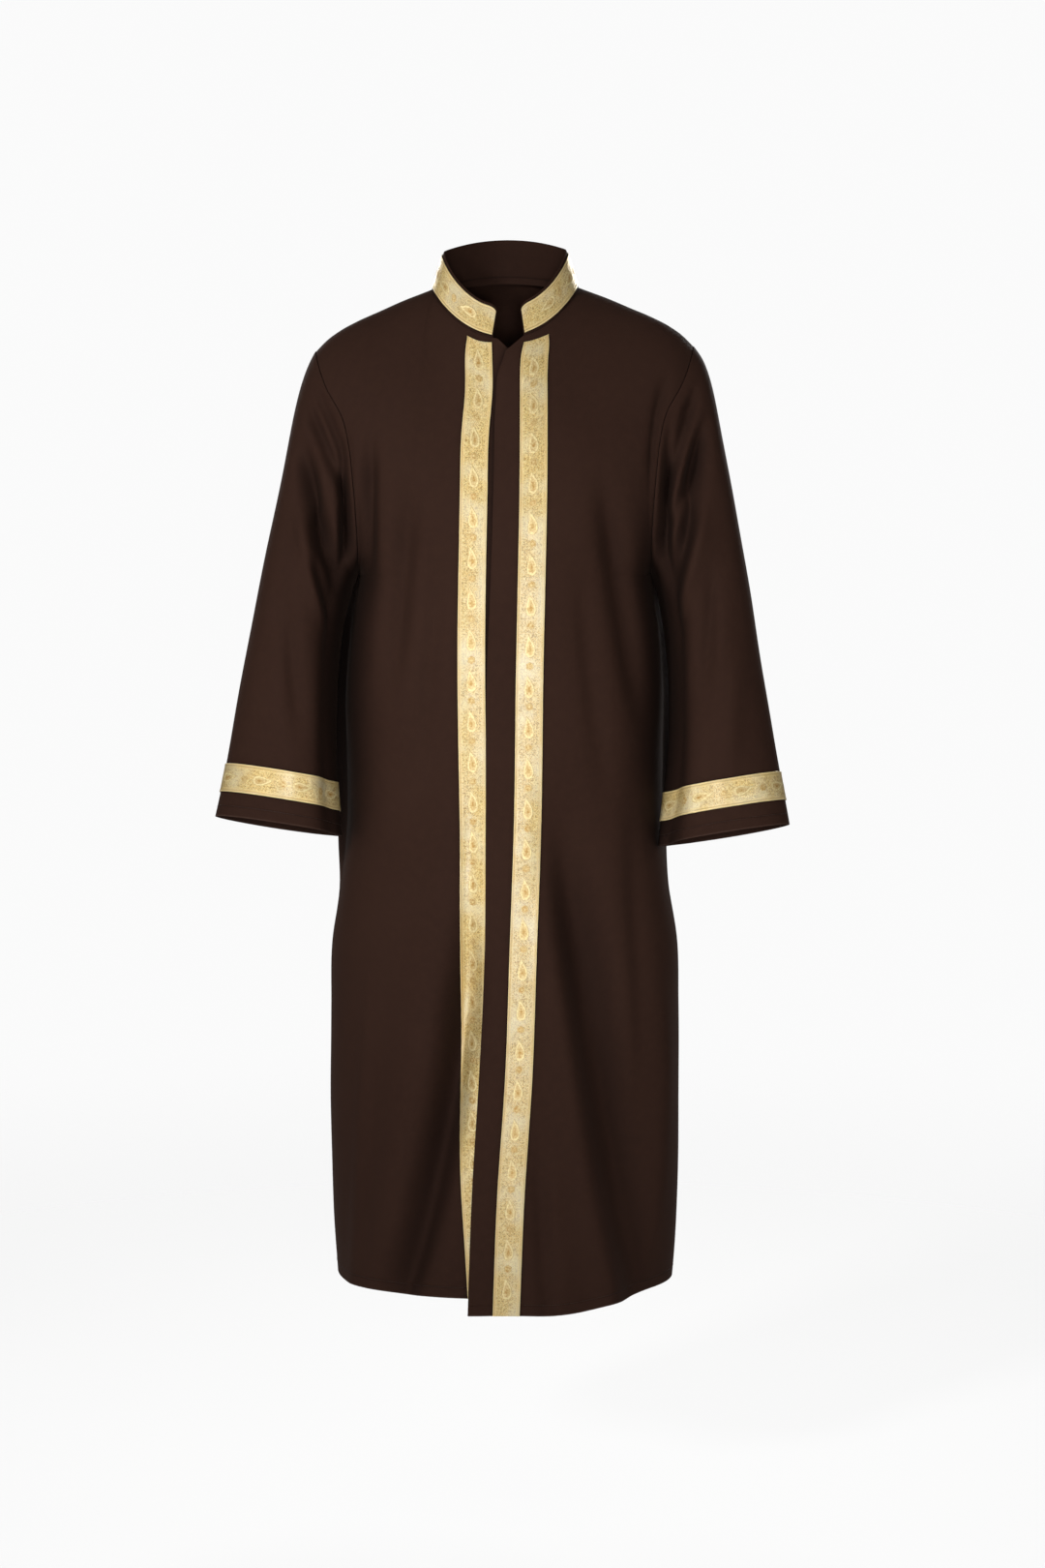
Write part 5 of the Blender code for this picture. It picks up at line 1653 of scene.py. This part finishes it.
# %% Sewing lines and threads
Line = namedtuple("Line", "points outward")
Thread = namedtuple("Thread", "length radius pitch tilt material")
HEM_THREAD = Thread(0.0030, 0.00022, 0.0038, math.radians(3.0), dark_thread)
RIBBON_THREAD = Thread(0.0022, 0.00014, 0.0029, math.radians(2.0), gold_thread)
RIBBON_SEW = 0.0030             # the ribbon's sewing lies this far from its edge
SEWN_SHORT = 0.0028             # and stops this far from its ends
RIBBON_THREAD_RISE = 0.00006    # of a stitch's middle over the ribbon's face
HEM_THREAD_RISE = 0.0001        # and over the cloth's


def sew_lines(name, lines, thread):
    """Stitches along several lines, as one mesh."""
    points = np.concatenate([line.points for line in lines])
    outward = np.concatenate([line.outward for line in lines])
    edges, start = [], 0
    for line in lines:
        edges += [(start + i, start + i + 1) for i in range(len(line.points) - 1)]
        start += len(line.points)
    mesh = bpy.data.meshes.new(name + "_lines")
    mesh.from_pydata(points.tolist(), edges, [])
    mesh.attributes.new("outward", "FLOAT_VECTOR", "POINT").data.foreach_set(
        "vector", outward.astype(np.float32).ravel())
    carrier = show(name + "_lines", mesh)
    stitch = stitch_object(name + "_stitch", thread.length, thread.radius)
    sewn = run_tree(stitches_along_lines, carrier, Stitch=stitch, Pitch=thread.pitch,
                    Tilt=thread.tilt, Material=thread.material)
    bpy.data.objects.remove(carrier)
    bpy.data.objects.remove(stitch)
    return show(name, sewn)


def row_line(points, place, ring=False):
    """A line along a cloth's rows at a fractional row, on its face."""
    normals = grid_normals(points, ring)
    if ring:
        points, normals = close_ring(points), close_ring(normals)
    outward = read_between(normals, [place], 0)[0]
    line = read_between(points, [place], 0)[0] + outward * HEM_THREAD_RISE
    return Line(line, outward) if ring else Line(line[1:-1], outward[1:-1])


def ribbon_lines(place):
    """The two sewing lines of a ribbon, on its face."""
    lines = []
    strip = strips[place]
    rise = np.full((1, 1), RIBBON_THREAD_RISE)
    for share in (RIBBON_SEW / strip.width, 1.0 - RIBBON_SEW / strip.width):
        line, outward = (grid.reshape(-1, 3)
                         for grid in read_strip(strip, [share], RIBBON_FINER, rise))
        walk = walk_along(line)
        clear = strip.ring | (np.minimum(walk, walk[-1] - walk) > SEWN_SHORT)
        lines.append(Line(line[clear], outward[clear]))
    return lines


hem_row = HEM_TURNED / float(walk_along(back[:2, 0])[1])
cuff_row = len(sleeve_left) - 1 - HEM_TURNED / (CUFF_EDGE_TO_RIBBON / EDGE_ROWS)
hem_lines = {
    "back": row_line(back, hem_row),
    "front_left": row_line(front_left[:, :MAIN_COLUMNS], hem_row),
    "front_right": row_line(front_right[:, MARGIN_COLUMNS + RIBBON_COLUMNS:], hem_row),
    "sleeve_left": row_line(sleeve_left, cuff_row, ring=True),
    "sleeve_right": row_line(sleeve_right, cuff_row, ring=True),
}
hem_stitches = {place: sew_lines("hem_stitches_" + place, [line], HEM_THREAD)
                for place, line in hem_lines.items()}
ribbon_stitches = {place: sew_lines("ribbon_stitches_" + place, ribbon_lines(place), RIBBON_THREAD)
                   for place in strips}
print("hem stitch faces:", {place: len(o.data.polygons) for place, o in hem_stitches.items()})
print("ribbon stitch faces:", {place: len(o.data.polygons) for place, o in ribbon_stitches.items()})

# %% [markdown]
# ## Handing the pieces to the frame
#
# Each piece rides on the frame's one body and stands for its CAD node, which it hides. The table
# of cuts lists the size that each piece of cloth was cut to. A pattern piece is seldom a
# rectangle, so beside its width and length the table gives the area of cloth in it.

# %% Cuts
Cut = namedtuple("Cut", "width length area held rests_on")
CUTS = {
    "back": Cut(0.590, 1.250, 0.651, "hung", ("front_left", "front_right")),
    "front_left": Cut(0.348, 1.235, 0.351, "hung", ("back",)),
    "front_right": Cut(0.330, 1.232, 0.334, "hung", ("back",)),
    "sleeve_left": Cut(0.430, 0.628, 0.209, "hung", ("front_left", "back")),
    "sleeve_right": Cut(0.430, 0.618, 0.200, "hung", ("front_right", "back")),
    "collar": Cut(0.458, 0.052, 0.0223, "stretched", ("back", "front_left", "front_right")),
}


def hand_over(piece, finish, *nodes):
    """A piece rides on the robe's body and replaces its nodes; `finish` is not used."""
    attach(piece, "root")
    if nodes:
        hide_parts(*nodes)


for place, cut in CUTS.items():
    piece = cloth[place]
    hand_over(piece, "robe_cloth", place)
    sewn_on = [hem_stitches[place]] if place in hem_stitches else []
    for extra in sewn_on:
        hand_over(extra, "robe_cloth")

for place, ribbon in ribbons.items():
    hand_over(ribbon, "gold_ribbon", "trim_" + place)
    sewn_on = [figures[place], ribbon_stitches[place]]
    for extra in sewn_on:
        hand_over(extra, "gold_ribbon")
